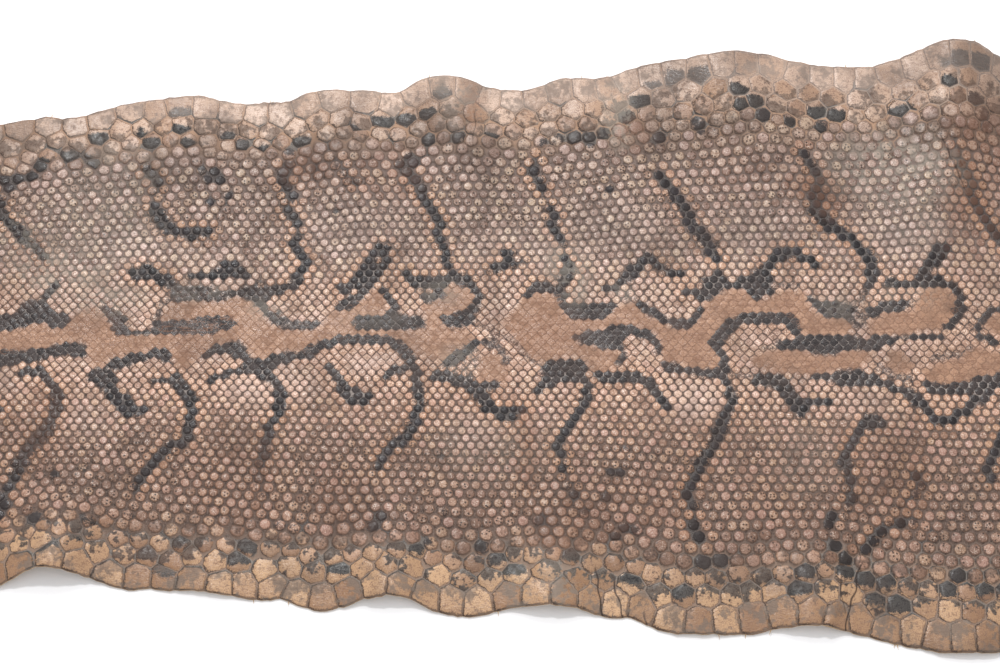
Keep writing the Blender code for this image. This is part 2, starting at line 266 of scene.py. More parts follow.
# Charcoal lines: darkness, half-width, then the points they run through
DARK_LINES = [
    (1, 2.4, [(-275, 96), (-262, 82), (-256, 73), (-253.5, 66), (-246.5, 60), (-241.5, 53.5)]),
    (0.6, 2.4, [(-241.5, 53.5), (-234, 46.5), (-229, 43)]),
    (0.4, 1.2, [(-143, -66), (-141, -76), (-139, -88)]),
    (0.6, 1.2, [(-204, -91), (-196, -95), (-188, -99)]),
    (0.85, 1.8, [(200, -93.5), (192, -95.5), (185, -98), (180, -102), (176, -108)]),
    (0.6, 1.3, [(204, -68), (205, -76), (201, -83), (196, -86)]),
    (0.6, 2.2, [(-84, 97), (-80, 92), (-77, 87), (-73, 84)]),
    (1, 2.9, [(-183.5, 35), (-179, 36), (-175, 34.5), (-171, 32), (-168, 30.5)]),
    (1, 2.2, [(-65.5, 40), (-68.5, 35), (-72, 30), (-75.5, 27), (-80, 26.5)]),
    (1, 2.0, [(-65.5, 40), (-63.5, 44.5), (-60.5, 48), (-57, 47)]),
    (0.8, 2.6, [(-80, 17), (-75, 19), (-70, 23), (-66, 28), (-62, 35), (-58, 41)]),
    (0.9, 1.8, [(-58, 26), (-55, 21), (-53, 16), (-52, 12)]),
    (1, 2.2, [(-47, 33), (-43, 30.5), (-38, 29.5), (-33, 29.5), (-28, 31)]),
    (0.9, 2.1, [(-38, 21.5), (-33.5, 22), (-30, 24)]),
    (0.4, 3.0, [(-41, 27), (-34, 26)]),
    (1, 2.2, [(-50, 94), (-46.5, 89), (-43.5, 84), (-40, 79), (-37, 74), (-34, 69), (-31.5, 64),
              (-31, 60)]),
    (0.8, 1.9, [(-32, 60), (-32, 56), (-30.5, 51), (-28, 46), (-26, 40)]),
    (0.9, 3.0, [(-29, 31), (-24, 32.5), (-19, 31.5)]),
    (0.85, 1.8, [(-18, 31), (-14, 27.5), (-11, 22), (-12, 16.5), (-16, 13.8), (-20, 12), (-26, 10)]),
    (1, 3.0, [(-26, 9.5), (-21, 9), (-16, 10)]),
    (0.4, 2.2, [(-14, 9), (-8, 6), (0, 3)]),
    (0.45, 1.6, [(-4, 0), (6, 0), (12, -8), (17, -13)]),
    (0.6, 1.8, [(-8, -2), (-2, -4), (1, -8), (4, -13)]),
    (0.4, 1.6, [(-13, 33), (-6, 35), (-2, 38)]),
    (1, 2.3, [(-2, 37.5), (2, 39.5), (4, 45)]),
    (0.7, 1.6, [(4, 40), (12, 41)]),
    (1, 1.9, [(-97, -7.5), (-92, -4.7), (-86, -2.5), (-80, -1), (-70, -0.7), (-60, -0.7), (-54, -1.5)]),
    (0.9, 2.0, [(-54, -1.5), (-49, -5), (-45, -10), (-42, -17), (-41, -24), (-40, -31), (-40.5, -37)]),
    (0.8, 1.6, [(-57, -19.5), (-52, -16.5), (-46, -16)]),
    (1, 2.0, [(-40.5, -37), (-41.5, -43), (-44.5, -48), (-48.5, -53.5), (-54, -57), (-58, -61)]),
    (0.75, 1.8, [(-58, -61), (-59, -67)]),
    (1, 2.3, [(-121, -17), (-115, -20), (-111, -24), (-108.5, -30), (-109, -37)]),
    (0.9, 2.0, [(-109, -37), (-110.5, -42), (-113.5, -47), (-115, -54), (-116, -62)]),
    (0.55, 2.2, [(-116, -62), (-119, -72)]),
    (0.38, 2.4, [(-119, -72), (-115, -82), (-113, -92), (-106, -97), (-98, -97)]),
    (0.95, 2.2, [(-161.5, -21), (-159, -24.5), (-155.5, -29), (-152, -34), (-152, -40), (-154, -48)]),
    (0.7, 1.4, [(-171, -22.5), (-163, -21.5)]),
    (0.95, 2.0, [(-154, -47), (-154, -52), (-160, -56), (-165, -59.5), (-169, -64), (-173, -70),
                 (-176.5, -77)]),
    (0.4, 2.0, [(-176.5, -78), (-178, -85), (-182, -95)]),
    (1, 2.1, [(-236, -18), (-230, -17.5), (-226, -19.5), (-221.5, -25), (-219, -31), (-219.5, -37)]),
    (1, 2.1, [(-219, -37), (-220.5, -43.5), (-224, -49), (-228, -54), (-232.5, -60)]),
    (0.75, 2.6, [(-232.5, -60), (-236, -67), (-238, -74), (-241, -82), (-244, -93), (-248, -104)]),
    (1, 2.6, [(-252, -36), (-247.5, -37.5)]),
    (0.95, 2.6, [(-84.5, -15.5), (-81, -20), (-78, -26)]),
    (1, 2.6, [(-27, -20.5), (-20, -22), (-14, -25), (-9, -30), (-5.5, -35.5), (-2, -38.5)]),
    (1, 2.2, [(-7, -25), (-2, -24)]),
    (0.85, 2.2, [(-32, -20), (-26, -21)]),
    (0.95, 2.2, [(-26, -13), (-22, -10), (-17, -6.5), (-12.5, -3)]),
    (1, 2.1, [(-6, -37), (0, -38.5), (4, -38.5)]),
    (0.9, 1.4, [(5, -37.5), (9, -37.5), (12, -36)]),
    (1, 2.6, [(1.5, -41), (4, -41.5)]),
    (1, 2.0, [(44, -27), (41.5, -33), (38.5, -38.5), (35, -43), (32, -47.5), (29.5, -52), (28, -55.5),
              (30, -59)]),
    (0.5, 1.8, [(31, -58.5), (30.5, -66), (33, -74), (36.5, -82)]),
    (1, 1.6, [(30.5, -66), (31, -68)]),
    (0.5, 0.8, [(57.4, -45.7), (60, -51.4), (62, -58)]),
    (1, 1.9, [(14.5, 24), (17, 27), (22, 27), (28, 26.5), (32, 21)]),
    (1, 2.3, [(32, 43.5), (35, 40), (34, 34), (31.5, 29.5)]),
    (1, 2.2, [(19, 97), (15.5, 91), (18.5, 86), (21.5, 81)]),
    (0.4, 1.8, [(21.5, 81), (25, 76)]),
    (0.95, 2.0, [(27, 70), (28.5, 65), (27, 61), (28.5, 57), (31, 53.5)]),
    (0.5, 1.8, [(31, 53.5), (33.5, 49)]),
    (0.8, 1.8, [(80, 40), (83, 36.5), (87, 35), (91, 34.5)]),
    (0.95, 1.8, [(93.5, 25.5), (98, 24.5), (101, 25)]),
    (1, 2.1, [(83, 88), (86, 82.5), (89, 77.5), (91.5, 73.5), (94, 69.5), (96, 65), (98, 61), (101, 57)]),
    (1, 2.1, [(101, 57), (104, 52.5), (107, 47.5), (110, 42.5)]),
    (1, 2.8, [(131, 33), (134.5, 37.5), (138.5, 42), (142, 45.5), (147, 46), (151, 46)]),
    (1, 1.9, [(151.5, 45.5), (155.5, 42), (159, 40.5)]),
    (0.45, 2.2, [(138, 28), (145, 28.5), (150, 27.5)]),
    (0.9, 1.9, [(154, 103), (156, 99), (159, 94), (162, 90), (164, 85), (163.5, 80)]),
    (1, 3.2, [(163, 79), (161, 75), (161.5, 70), (163.5, 65.5), (168, 61)]),
    (1, 2.4, [(168, 61.5), (173, 57.5), (179, 52.5), (184, 47.5), (187.5, 42.5), (188, 36), (187, 30)]),
    (0.5, 1.9, [(186, 30), (185, 26), (182, 20)]),
    (0.95, 1.8, [(196, 30), (202, 29), (208.6, 28.7), (216, 29.5), (223, 31), (228, 27), (231, 22),
                 (232, 17)]),
    (0.85, 2.4, [(186, 14), (191, 16), (197, 16.5), (204, 18.5)]),
    (0.95, 2.6, [(147.5, 5), (145, 10.5), (138, 11), (123.6, 10.5), (119, 9.3), (115.5, 7), (112.5, 4.5),
                 (109.5, 1), (107.5, -2)]),
    (0.95, 2.0, [(107.5, -2), (108.5, -6), (111, -10), (112.5, -15)]),
    (0.95, 2.1, [(48, -19.5), (56, -21), (63, -19.8), (69, -20.5), (74, -23.5), (78, -29), (81.5, -35)]),
    (0.7, 1.4, [(60, -5), (62, -9), (59, -13)]),
    (0.8, 1.7, [(108, -19), (112, -23), (113.5, -29), (116, -33)]),
    (1, 2.0, [(116, -32), (113, -38), (110, -44), (107.5, -49), (105, -54), (102.5, -58), (99, -62.5)]),
    (1, 2.0, [(99, -62.5), (97, -66.5), (94.5, -71), (92.5, -75), (90.5, -80)]),
    (0.8, 1.9, [(90.5, -80), (92.5, -85), (92.5, -88)]),
    (1, 2.6, [(93, -95), (93.5, -98)]),
    (0.85, 2.4, [(94, -100), (97, -104)]),
    (0.5, 2.2, [(188, -15), (196, -20), (203, -22)]),
    (0.9, 2.3, [(203, -29), (208, -34), (211, -38.5), (214.5, -43), (219, -44), (223, -42),
                (227, -39.5)]),
    (0.9, 2.2, [(227, -39.5), (231, -37), (233, -33), (238, -32.5), (243, -28)]),
    (1, 2.0, [(212, -25.5), (219, -27), (226, -26.5), (233, -24), (240, -21.5), (262, -19)]),
    (0.8, 1.8, [(230, 15), (227, 9), (223, 5.5)]),
    (0.8, 1.6, [(239, 5), (241, 0), (247, -2)]),
    (0.8, 1.6, [(241, 10), (246, 14), (253, 15.5)]),
    (0.5, 1.6, [(215, -10), (228, -9.5), (234, -5)]),
    (0.7, 2.4, [(188, -44), (182, -42)]),
    (1, 1.9, [(182, -43), (178.5, -45.5), (176.5, -49.5), (174.5, -53), (171.5, -57), (169.5, -60.5)]),
    (1, 1.9, [(169.5, -60.5), (168, -64), (171, -68.5)]),
    (1, 1.8, [(171, -72), (171, -78), (170, -84)]),
    (0.5, 1.4, [(170, -84), (168, -92)]),
    (1, 2.0, [(249, -44), (247, -51), (245, -57), (242, -62), (239.5, -67), (238.5, -73)]),
    (0.7, 1.6, [(234.5, 104), (235, 99), (237, 93)]),
    (1, 2.3, [(237, 93), (239.5, 88), (242, 84)]),
    (1, 2.0, [(242, 84), (242, 76), (244, 71.5), (247, 66), (250, 61)]),
    (1, 2.3, [(249, 61), (252, 56), (256, 50), (262, 42), (268, 34)]),
    (1, 2.3, [(-181, 91), (-177, 87), (-175, 84)]),
    (0.45, 2.0, [(-175, 84), (-177, 78), (-177, 72)]),
    (1, 2.2, [(-177, 71), (-174, 66), (-171, 62), (-167.5, 57.5)]),
    (1, 2.3, [(-165, 57.5), (-160, 56.5), (-155, 57.5), (-149, 57)]),
    (1, 2.4, [(-109, 93), (-112, 86), (-109, 80), (-107, 76)]),
    (1, 2.2, [(-109, 68.5), (-107, 66), (-104, 62)]),
    (0.6, 1.8, [(-107, 76), (-109, 68.5), (-104, 62), (-101.5, 56), (-104.5, 52)]),
    (0.95, 2.2, [(-104.5, 52), (-103, 49), (-101, 45.5), (-99, 41), (-100, 35), (-104, 29)]),
    (0.85, 1.8, [(-104, 29), (-110, 26), (-117, 25)]),
    (0.85, 1.6, [(-143, -22), (-137, -19), (-131, -17.5), (-124, -16)]),
    (0.5, 1.6, [(-173, 9), (-171, 15), (-167, 20)]),
]

# Charcoal patches: darkness, then the outline
DARK_PATCHES = [
    (1, [(-290, 14), (-250, 13.6), (-241, 13.6), (-241, 19.3), (-236, 20.3), (-231.5, 19.3), (-229, 23),
         (-228.5, 28), (-226.5, 30.7), (-221.5, 31.4), (-222, 28.5), (-225, 25), (-226.5, 20.7),
         (-226.5, 16.4), (-221, 14), (-215, 13), (-215.7, 9.3), (-218, 5.7), (-224.3, 5), (-228, 8.6),
         (-236.5, 7), (-241, 5), (-250, 4), (-290, 4)]),
    (1, [(-190.7, 2), (-172, 2.3), (-146.4, 2.3), (-138, 3.8), (-134.3, 5.2), (-130.7, 7), (-131.5, 9.3),
         (-135, 11.8), (-140, 12.6), (-150, 11.2), (-160, 8.8), (-166, 9.3), (-172, 8.4), (-175, 4.5),
         (-183.6, 3.8), (-186, 6.4), (-187, 10), (-190, 12), (-193.5, 15.5), (-197.5, 18.5), (-201.5, 17),
         (-199.3, 13.8), (-196.5, 10), (-194.3, 5.2)]),
    (1, [(-158.6, 34.5), (-153.6, 36), (-142.5, 36.7), (-140, 41), (-134, 42), (-131.4, 37.5),
         (-125.7, 35.7), (-125.7, 32), (-131.4, 32), (-135.7, 34.3), (-140.7, 31.4), (-153.6, 30.7)]),
    (0.65, [(-170, 29.3), (-165, 30), (-160.7, 28), (-146.4, 28), (-140, 25.7), (-126.4, 27),
            (-124.3, 30.7), (-120, 30.7), (-120.7, 27), (-113.6, 27), (-113, 23.6), (-116.4, 22),
            (-117, 18), (-113.6, 13.6), (-109.3, 14.3), (-109.3, 11.4), (-103, 10.7), (-97, 9.3),
            (-90.7, 10), (-87.9, 8.6), (-90.7, 5), (-97, 4), (-107, 4.6), (-113.6, 6.4), (-117, 9.3),
            (-120, 13.6), (-123, 17), (-125, 20), (-129.3, 22), (-135.7, 21.4), (-142, 18.6),
            (-156.4, 19.6), (-164.3, 19.6), (-167, 25)]),
    (0.9, [(-134, 26), (-126, 27.5), (-114, 27), (-113, 23), (-117, 18), (-119, 13.6), (-123, 16.5),
           (-127, 21), (-134, 22)]),
    (0.9, [(-170, 29.3), (-163, 29.5), (-160, 27.5), (-166, 25)]),
    (0.95, [(-73, 10.8), (-67, 12.2), (-60, 12.2), (-57, 15), (-54, 15), (-52, 12), (-43, 11),
            (-38.5, 12.5), (-37, 8), (-38, 5.5), (-48.6, 4.7), (-71, 5), (-73.5, 7)]),
    (1, [(-121.4, -11.4), (-117, -11), (-111.4, -7.4), (-101.4, -7), (-95.7, -7.4), (-93, -5),
         (-93, -10.7), (-101.4, -11.4), (-107, -13.6), (-113, -16.4), (-119, -18.5), (-125, -17),
         (-129, -12), (-134, -8.5), (-141, -8.5), (-147, -10.5), (-151, -13), (-149.5, -9.5),
         (-145.7, -6), (-142, -3.6), (-136.5, -2.3), (-130, -1.7), (-127, -4.6), (-124.5, -8.3)]),
    (1, [(-195, -11), (-186.4, -9), (-175, -6.8), (-170, -5.4), (-165.7, -6), (-163.6, -9.5), (-162, -14),
         (-166, -13.5), (-170, -10), (-176, -11.5), (-183, -14), (-190, -17), (-196, -16)]),
    (1, [(-203.6, -16.5), (-198, -16.2), (-192, -17), (-190.7, -20.7), (-189.3, -26.4), (-183.6, -30.7),
         (-179.3, -35.5), (-175, -35.5), (-175, -40), (-183.6, -40.7), (-189.3, -39.3), (-193, -33.6),
         (-196.4, -26.4), (-200.7, -23.6), (-205, -22)]),
    (1, [(-290, -6.8), (-248.6, -6.6), (-239.3, -6.4), (-228, -5.0), (-220.7, -3.1), (-215, -2.0),
         (-209.3, -1.7), (-206.4, -3.8), (-205.5, -8), (-209, -10), (-215, -8.5), (-222, -9.5),
         (-228, -11.5), (-238, -13), (-248, -14.5), (-290, -15)]),
    (0.9, [(-81, -19), (-77, -19.5), (-75, -24), (-71, -26.5), (-66, -27.5), (-62.5, -31), (-64, -35.5),
           (-71, -36), (-76, -34), (-80, -29)]),
    (0.4, [(-34, -13), (-28, -13), (-20, -9), (-12, -3), (-9, -10), (-12, -16), (-11, -22), (-18, -22),
           (-28, -20), (-34, -17)]),
    (1, [(18.6, -13.6), (29.3, -10.7), (40.7, -10.9), (42.5, -13.6), (43, -17), (43, -21), (46.5, -27),
         (44.3, -29.5), (40.7, -25), (37, -22.4), (32, -22.4), (28, -24), (23.6, -26.5), (20.7, -29.6),
         (16, -29.3), (18, -25.7), (20.7, -22), (20.7, -18)]),
    (1, [(31.4, 20), (34.3, 19.5), (38, 18.5), (45, 18), (51.4, 19.5), (57, 18.5), (60, 17.5), (58, 15.7),
         (55, 12), (49.3, 10), (42, 9.7), (35, 10.7), (31.4, 13.6), (29.5, 17.5)]),
    (0.9, [(49.3, 28.6), (58, 28.6), (60.7, 32), (63.6, 36.4), (68, 41.4), (70.7, 44.7), (74.3, 46),
           (78, 45.5), (79.5, 40.7), (76.4, 39.3), (73, 37), (70, 32), (66.4, 30.7), (60.7, 28),
           (59.3, 25), (50.7, 25)]),
    (0.4, [(58, 25), (66, 26), (69, 21), (64, 19), (59, 18)]),
    (0.9, [(68, 21), (74, 18.5), (80, 14), (87, 10), (94, 10), (98.5, 13), (101.5, 17.5), (102.5, 14),
           (99.5, 9), (96.5, 6.2), (93.6, 4.3), (88, 4.7), (83.6, 6.7), (79.3, 9.3), (74.3, 12),
           (71.4, 15), (68.5, 18)]),
    (0.95, [(100, 25), (102, 31), (106.4, 34), (108.5, 36), (111, 35.5), (114, 31), (118.5, 29),
            (120, 33), (124, 34.5), (128, 33.5), (131, 34), (133, 38), (139.5, 38), (137, 33), (136, 28),
            (137, 23.5), (129.3, 20.5), (126.4, 22.4), (123.6, 25.3), (118, 26.6), (113.6, 26),
            (109.3, 23), (105, 21), (102, 18.5), (100, 21)]),
    (0.5, [(172, 19), (179, 19), (184, 14), (184.5, 9), (183, 5), (179, 3), (176, 6), (172, 11)]),
    (0.9, [(153.8, 24.5), (158.6, 20.5), (165.7, 20.3), (173, 18.5), (177, 17), (177, 10), (175.7, 8.6),
           (170, 11.2), (164.3, 11.3), (159.3, 13), (156.4, 16.6), (153.8, 21)]),
    (1, [(210, 33), (212.5, 40), (217, 44), (219.5, 49.5), (223, 52.5), (228.5, 51.5), (229.5, 46),
         (225, 42.5), (220, 39), (218, 35), (217, 30.5), (212, 28.5)]),
    (0.8, [(216, -26), (226, -25), (240, -21), (262, -19), (262, -25), (246, -27.5), (236, -29.5),
           (226, -28.5)]),
    (0.35, [(231, 20), (240, 14), (243, 11), (240, 4), (243, -1), (248, -3), (236, -2), (226, -1),
            (222, 4), (226, 8), (229, 13)]),
    (0.9, [(137, -2.5), (143, -0.7), (150, 1.4), (173, 1.4), (183, 0), (187, 1.4), (201.4, 0.7),
           (210, 2.5), (221.4, 2), (222, 0), (210, -1), (198.6, -1.6), (190, -5), (187, -7),
           (178.6, -5.5), (171.4, -7), (165.7, -8.5), (155.7, -8), (148.6, -5.6), (138, -5.4)]),
    (0.5, [(129, -6.5), (138, -5.2), (137, -3), (131, -4.5)]),
    (0.3, [(130, 10.5), (145, 10.5), (147.5, 7), (149, 1.6), (140, -0.5), (128, -1)]),
    (1, [(80.7, -13), (89, -13.5), (95, -15.6), (100.7, -17), (108, -16.4), (110.5, -14), (113, -18),
         (109, -20.5), (100, -20), (92, -19), (86, -18.5), (80, -18)]),
    (0.92, [(36.4, 0.5), (40.7, 3.4), (49.3, 4), (53.6, 5.8), (59.3, 6.9), (66.4, 6.5), (73.6, 5),
            (78, 2.7), (80, -1), (80.7, -5), (80.5, -10), (77.5, -9), (77, -4), (74.5, -0.5), (68, 1),
            (62, 0.5), (60.5, -3), (60.5, -9), (59, -7), (48, -5), (40.7, -3)]),
    (1, [(126, -19), (130, -19.5), (137, -19.5), (143, -20.5), (144, -24), (146, -28), (149, -31.5),
         (153, -32), (158.6, -31.8), (165.3, -31), (165.5, -34.2), (158.6, -35.4), (153.5, -36.2),
         (151, -39.8), (148.6, -42), (145.3, -38), (141.6, -33), (138, -27.6), (133, -26), (126, -25.5)]),
    (0.45, [(110, -17), (120, -17.5), (127, -19), (127, -22), (118, -21), (110, -20)]),
    (0.92, [(143, -20.5), (151.4, -20.7), (158.6, -18.5), (170, -17), (178.6, -17), (184.3, -18.5),
            (190, -21), (195, -23.6), (199, -26), (203, -28), (201.4, -30.6), (195.7, -29.3), (190, -26),
            (180, -25.2), (170, -26), (167, -24), (158.6, -22), (151.4, -22.4)]),
    (0.42, [(164, 83), (172, 84), (180, 80), (178, 73), (170, 72), (165, 74)]),
]

# Charcoal blotches on the large scales of the flanks: X, Y, half-length, half-width, darkness
EDGE_BLOTCHES = [
    (-157, 54, 2, 2.5, 0.9), (-140.5, 74, 2, 2.5, 0.9), (-138, 78, 2, 2.5, 0.7), (-153, 92, 2.5, 4, 0.6),
    (-95, 92, 2.5, 3, 0.8), (-84, 69, 2, 2, 0.6), (-84, 62, 2, 2.5, 0.6), (-5, 111, 4, 3, 0.6),
    (54, 112, 2, 4, 0.8), (56, 87, 2.5, 2.5, 0.7), (56, 80, 3, 2.5, 0.7), (62, 80, 2, 2, 0.5),
    (52, 67, 2, 2, 0.6), (90, 148, 8, 3, 0.8), (105, 146, 5, 4, 0.9), (118, 146, 5, 3, 0.8),
    (120, 138, 4, 5, 0.9), (228, 157, 8, 3, 0.8), (240, 156, 6, 4, 1), (253, 152, 6, 5, 1),
    (-216, -70, 3, 2.5, 0.8), (-204, -68, 3, 3, 0.5), (-240, -85, 4, 5, 0.6), (-230, -108, 5, 3, 0.8),
    (-188, -110, 4, 4, 0.8), (-172, -113, 7, 3, 0.9), (-28.6, -61, 2.5, 2.5, 1), (-27, -88, 4, 5, 0.5),
    (36.5, -82.5, 2, 3, 0.9), (41, -88, 3, 2.5, 0.8), (40, -79, 2, 2, 0.6), (57.5, -69, 2.6, 2, 1),
    (53, -68.6, 2, 1.6, 0.9), (51.4, -81, 2, 2, 0.9), (62, -98, 5, 2.5, 0.8), (183, -46, 4, 3, 1),
    (202, -71.5, 2.4, 2.4, 1), (208, -100, 1.5, 3, 0.9), (166, -115, 3, 6, 1), (6, -118, 5, 4, 0.7),
    (-251, 85, 6, 5, 1), (-243, 88, 6, 3, 0.9), (-232, 103, 6, 3, 1), (-236, 96, 4, 4, 0.9),
    (-222, 98, 4, 5, 0.7), (-210, 96, 3, 5, 0.8), (-217, 99, 7, 3.5, 0.9), (-205, 113, 5, 4, 0.7),
    (-192, 120, 8, 3, 0.8), (-180, 129, 4, 3, 0.7), (-187, 116, 5, 2, 0.7), (-180, 105, 6, 5, 0.8),
    (-168, 115, 4, 3, 0.8), (-163, 124, 7, 4, 0.7), (-162, 108, 3, 3, 0.8), (-148, 120, 4, 2, 0.8),
    (-139, 115, 3, 4, 0.9), (-206, 109, 4, 2, 1), (-148, 88, 3, 4, 1), (-143, 87, 2, 3, 1),
    (-147, 75, 2, 3, 0.9), (-212, 122, 4, 3, 0.7), (-126, 117, 4, 3, 0.9), (-116, 117, 5, 3, 1),
    (-131, 108, 4, 4, 1), (-120, 108, 5, 3, 0.9), (-125, 103, 4, 2, 1), (-108, 104, 5, 4, 0.9),
    (-102, 108, 4, 3, 0.8), (-88, 106, 3, 5, 0.9), (-104, 122, 4, 3, 0.7), (-77, 119, 4, 6, 1),
    (-68, 124, 4, 5, 0.9), (-57, 120, 5, 2, 0.9), (-56, 108, 3, 4, 1), (-49, 121, 3, 4, 0.9),
    (-45, 97, 5, 5, 1), (-38, 100, 3, 3, 0.9), (-37, 126, 4, 3, 0.8), (-30, 140, 2, 4, 0.7),
    (-24, 110, 3, 4, 1), (-37, 107, 3, 6, 1), (-18, 112, 3, 3, 0.9), (29, 129, 5, 3, 0.9),
    (75, 133, 4, 4, 1), (66, 125, 3, 4, 1), (80, 141, 5, 3, 0.8), (36, 111, 9, 3.5, 1),
    (46, 108, 5, 4, 0.9), (25, 107, 5, 3, 0.7), (83, 113, 5, 4, 0.9), (78, 107, 3, 3, 1),
    (91, 120, 6, 4, 0.7), (98, 147, 5, 3, 0.7), (92, 128, 5, 3, 0.7), (105, 115, 4, 4, 0.9),
    (112, 116, 4, 3, 0.8), (101, 122, 3, 3, 0.9), (106, 142, 5, 3, 0.7), (123, 140, 4, 3, 0.8),
    (125, 130, 4, 5, 0.9), (131, 131, 4, 4, 1), (135, 122, 4, 6, 1), (166, 124, 6, 4, 0.9),
    (173, 125, 5, 3.5, 0.9), (163, 115, 5, 3, 0.8), (150, 118, 3, 4, 0.7), (205, 122, 5, 3, 1),
    (208, 126, 4, 3, 0.8), (213, 129, 4, 4, 1), (232, 143, 3, 4, 0.8), (235, 152, 6, 3, 0.8),
    (248, 155, 7, 3, 0.9), (187, 137, 8, 3, 0.9), (247, 132, 3, 5, 0.8), (252, 120, 4, 8, 0.6),
    (234, 106, 2, 7, 0.8), (260, 140, 6, 4, 0.8), (268, 120, 5, 6, 0.8), (-258, -95, 6, 6, 0.9),
    (-227, -93, 4, 4, 0.8), (-231, -107, 5, 2, 0.8), (-222, -109, 5, 3, 0.8), (-212, -103, 5, 2, 0.9),
    (-203, -103, 3, 2, 0.9), (-185, -111, 4, 2, 0.8), (-178, -101, 4, 4, 0.7), (-163, -101, 5, 3, 0.9),
    (-157, -105, 4, 4, 0.8), (-172, -114, 4, 3, 0.8), (-160, -120, 5, 3, 0.7), (-143, -116, 5, 3.5, 1),
    (-153, -108, 3, 3, 0.7), (-131, -114, 5, 4, 1), (-121, -111, 4, 6, 1), (-127, -104, 4, 3, 0.8),
    (-95, -118, 4, 5, 1), (-95, -97, 3, 4, 1), (-82, -117, 5, 4, 1), (-74, -118, 3, 5, 0.9),
    (-80, -108, 3, 3, 0.8), (-60, -93, 4, 5, 0.9), (-56, -99, 3, 3, 0.8), (-44, -105, 4, 3, 0.9),
    (-40, -112, 2, 4, 0.8), (-13, -121, 5, 3, 1), (-10, -104, 3, 5, 0.8), (-36, -104, 3, 3, 1),
    (-2, -117, 4, 4, 0.9), (3, -110, 3, 3, 0.8), (21, -94, 3, 4, 0.9), (20, -107, 5, 3, 0.8),
    (36, -113, 5, 4, 0.9), (52, -110, 3, 5, 1), (55, -103, 4, 3, 0.8), (68, -113, 3, 3, 0.8),
    (65, -123, 4, 3, 0.8), (84, -129, 5, 4, 1), (94, -115, 5, 3.5, 1), (106, -114, 5, 3.5, 1),
    (115, -110, 5, 2, 0.9), (125, -108, 6, 2, 0.5), (105, -132, 7, 2.5, 0.8), (140, -126, 8, 4, 1),
    (147, -117, 6, 5, 1), (140, -130, 4, 2, 0.7), (159, -105, 4, 4.5, 1), (161, -93, 4, 4, 0.9),
    (172, -121, 7, 3.5, 1), (181, -124, 7, 3.5, 1), (174, -137, 7, 2.5, 0.7), (185, -138, 8, 4, 1),
    (198, -138, 6, 4.5, 1), (222, -121, 5, 5, 1), (214, -129, 5, 4, 1), (229, -129, 5, 3, 0.9),
    (210, -138, 4, 2.5, 0.8), (221, -138, 4, 2.5, 0.9), (234, -138, 4, 4, 0.9), (204, -106, 2.5, 4, 1),
    (245, -126, 5, 4, 0.9), (256, -134, 5, 4, 0.9), (266, -122, 5, 4, 0.8), (252, -108, 5, 4, 0.7),
    (270, -140, 5, 3, 0.8),
]

# Colours of the scales, from the belly edge up over the spine, and of the skin between them
FLANK_PINK = "#bd9384"
FLANK_GOLD = "#bc987c"
FLANK_TAN = "#886858"
# The upper flank's colours are lighter, greyer copies of the lower flank's: painted sheen from the light
# behind the upper edge
LIT_UPPER_PINK = "#bc9e94"
LIT_UPPER_GOLD = "#bda48d"
LIT_UPPER_TAN = "#8a7066"
HALO_PEACH = "#c08e6c"
RIM_CREAM = "#c19d7b"
RIM_TAN = "#8d6c53"
# Painted sheen: the upper rim's colours are lighter copies of the lower rim's
LIT_UPPER_RIM_CREAM = "#cbaf9c"
LIT_UPPER_RIM_TAN = "#a8876f"
SPINE_PALE = "#a9836b"
SPINE_TAN = "#97735d"
SPINE_STREAK = "#7c5b49"
# Painted highlight: the cream glint on the crowns of the flank scales
HIGHLIGHT_CREAM = "#e6d3c4"
CLOUD_BROWN = "#7d6150"
MOTTLE_BROWN = "#785a4b"
# Brown of the specks, also the painted shade in the creases and the painted shadow at the outer scales'
# tail edges
SPECK_AND_SHADOW_BROWN = "#2b1f1c"
RING_BROWN = "#5b4437"
FLANK_SKIN = "#6d584e"
# Painted sheen: the skin of the upper flank lighter than the lower flank's
LIT_UPPER_SKIN = "#7b6a63"
RIM_SKIN = "#8b7566"
SPINE_SKIN = "#886854"
SKIN_SHADE = "#43352f"
SKIN_LIGHT = "#968478"
STAINED_SKIN_GREY = "#6b6563"
STAINED_SKIN_DARK = "#2f2b29"
CHARCOAL = "#141317"
CHARCOAL_GREY = "#312d32"
SPINE_SKIN_GREY = "#978d87"
SPINE_CHARCOAL = "#453c3a"
SPINE_CHARCOAL_DARK = "#1b181a"
BLOT_GREY = "#4d4a47"
OUTER_SKIN_GREY = "#857d76"
INNER_PINK = "#c6a390"
RIM_SMUDGE = "#7a7067"
# Painted sheen on the upper rim
UPPER_RIM_SHEEN = "#e6d3c7"
# Reddish brown, partly the hide's own and partly painted shade
RUDDY_SHADE_SCALE = "#835c47"
RUDDY_SHADE_SKIN = "#4a342b"
# Painted sheen on the glossy places
SHEEN_PINK = "#e6cdc2"
# Painted sheen: the grey veil of reflected light
SHEEN_GREY = "#989085"
FLESH_TAN = "#c0a585"
FLESH_SHADE = "#a58869"
FLOOR_WHITE = "#f4f4f6"

# Roughness of the skin between the scales and of the glaze on them
MATT = 0.70
GLAZED = 0.20

rng = np.random.default_rng(7)


def srgb(text):
    """A hex colour as linear light."""
    parts = [int(text[k:k + 2], 16) / 255 for k in (1, 3, 5)]
    return tuple(c / 12.92 if c <= 0.04045 else ((c + 0.055) / 1.055) ** 2.4 for c in parts) + (1.0,)


def smoothstep(low, high, value):
    t = np.clip((value - low) / (high - low), 0, 1)
    return t * t * (3 - 2 * t)


# Lines and patches drawn on the hide, all in millimetres

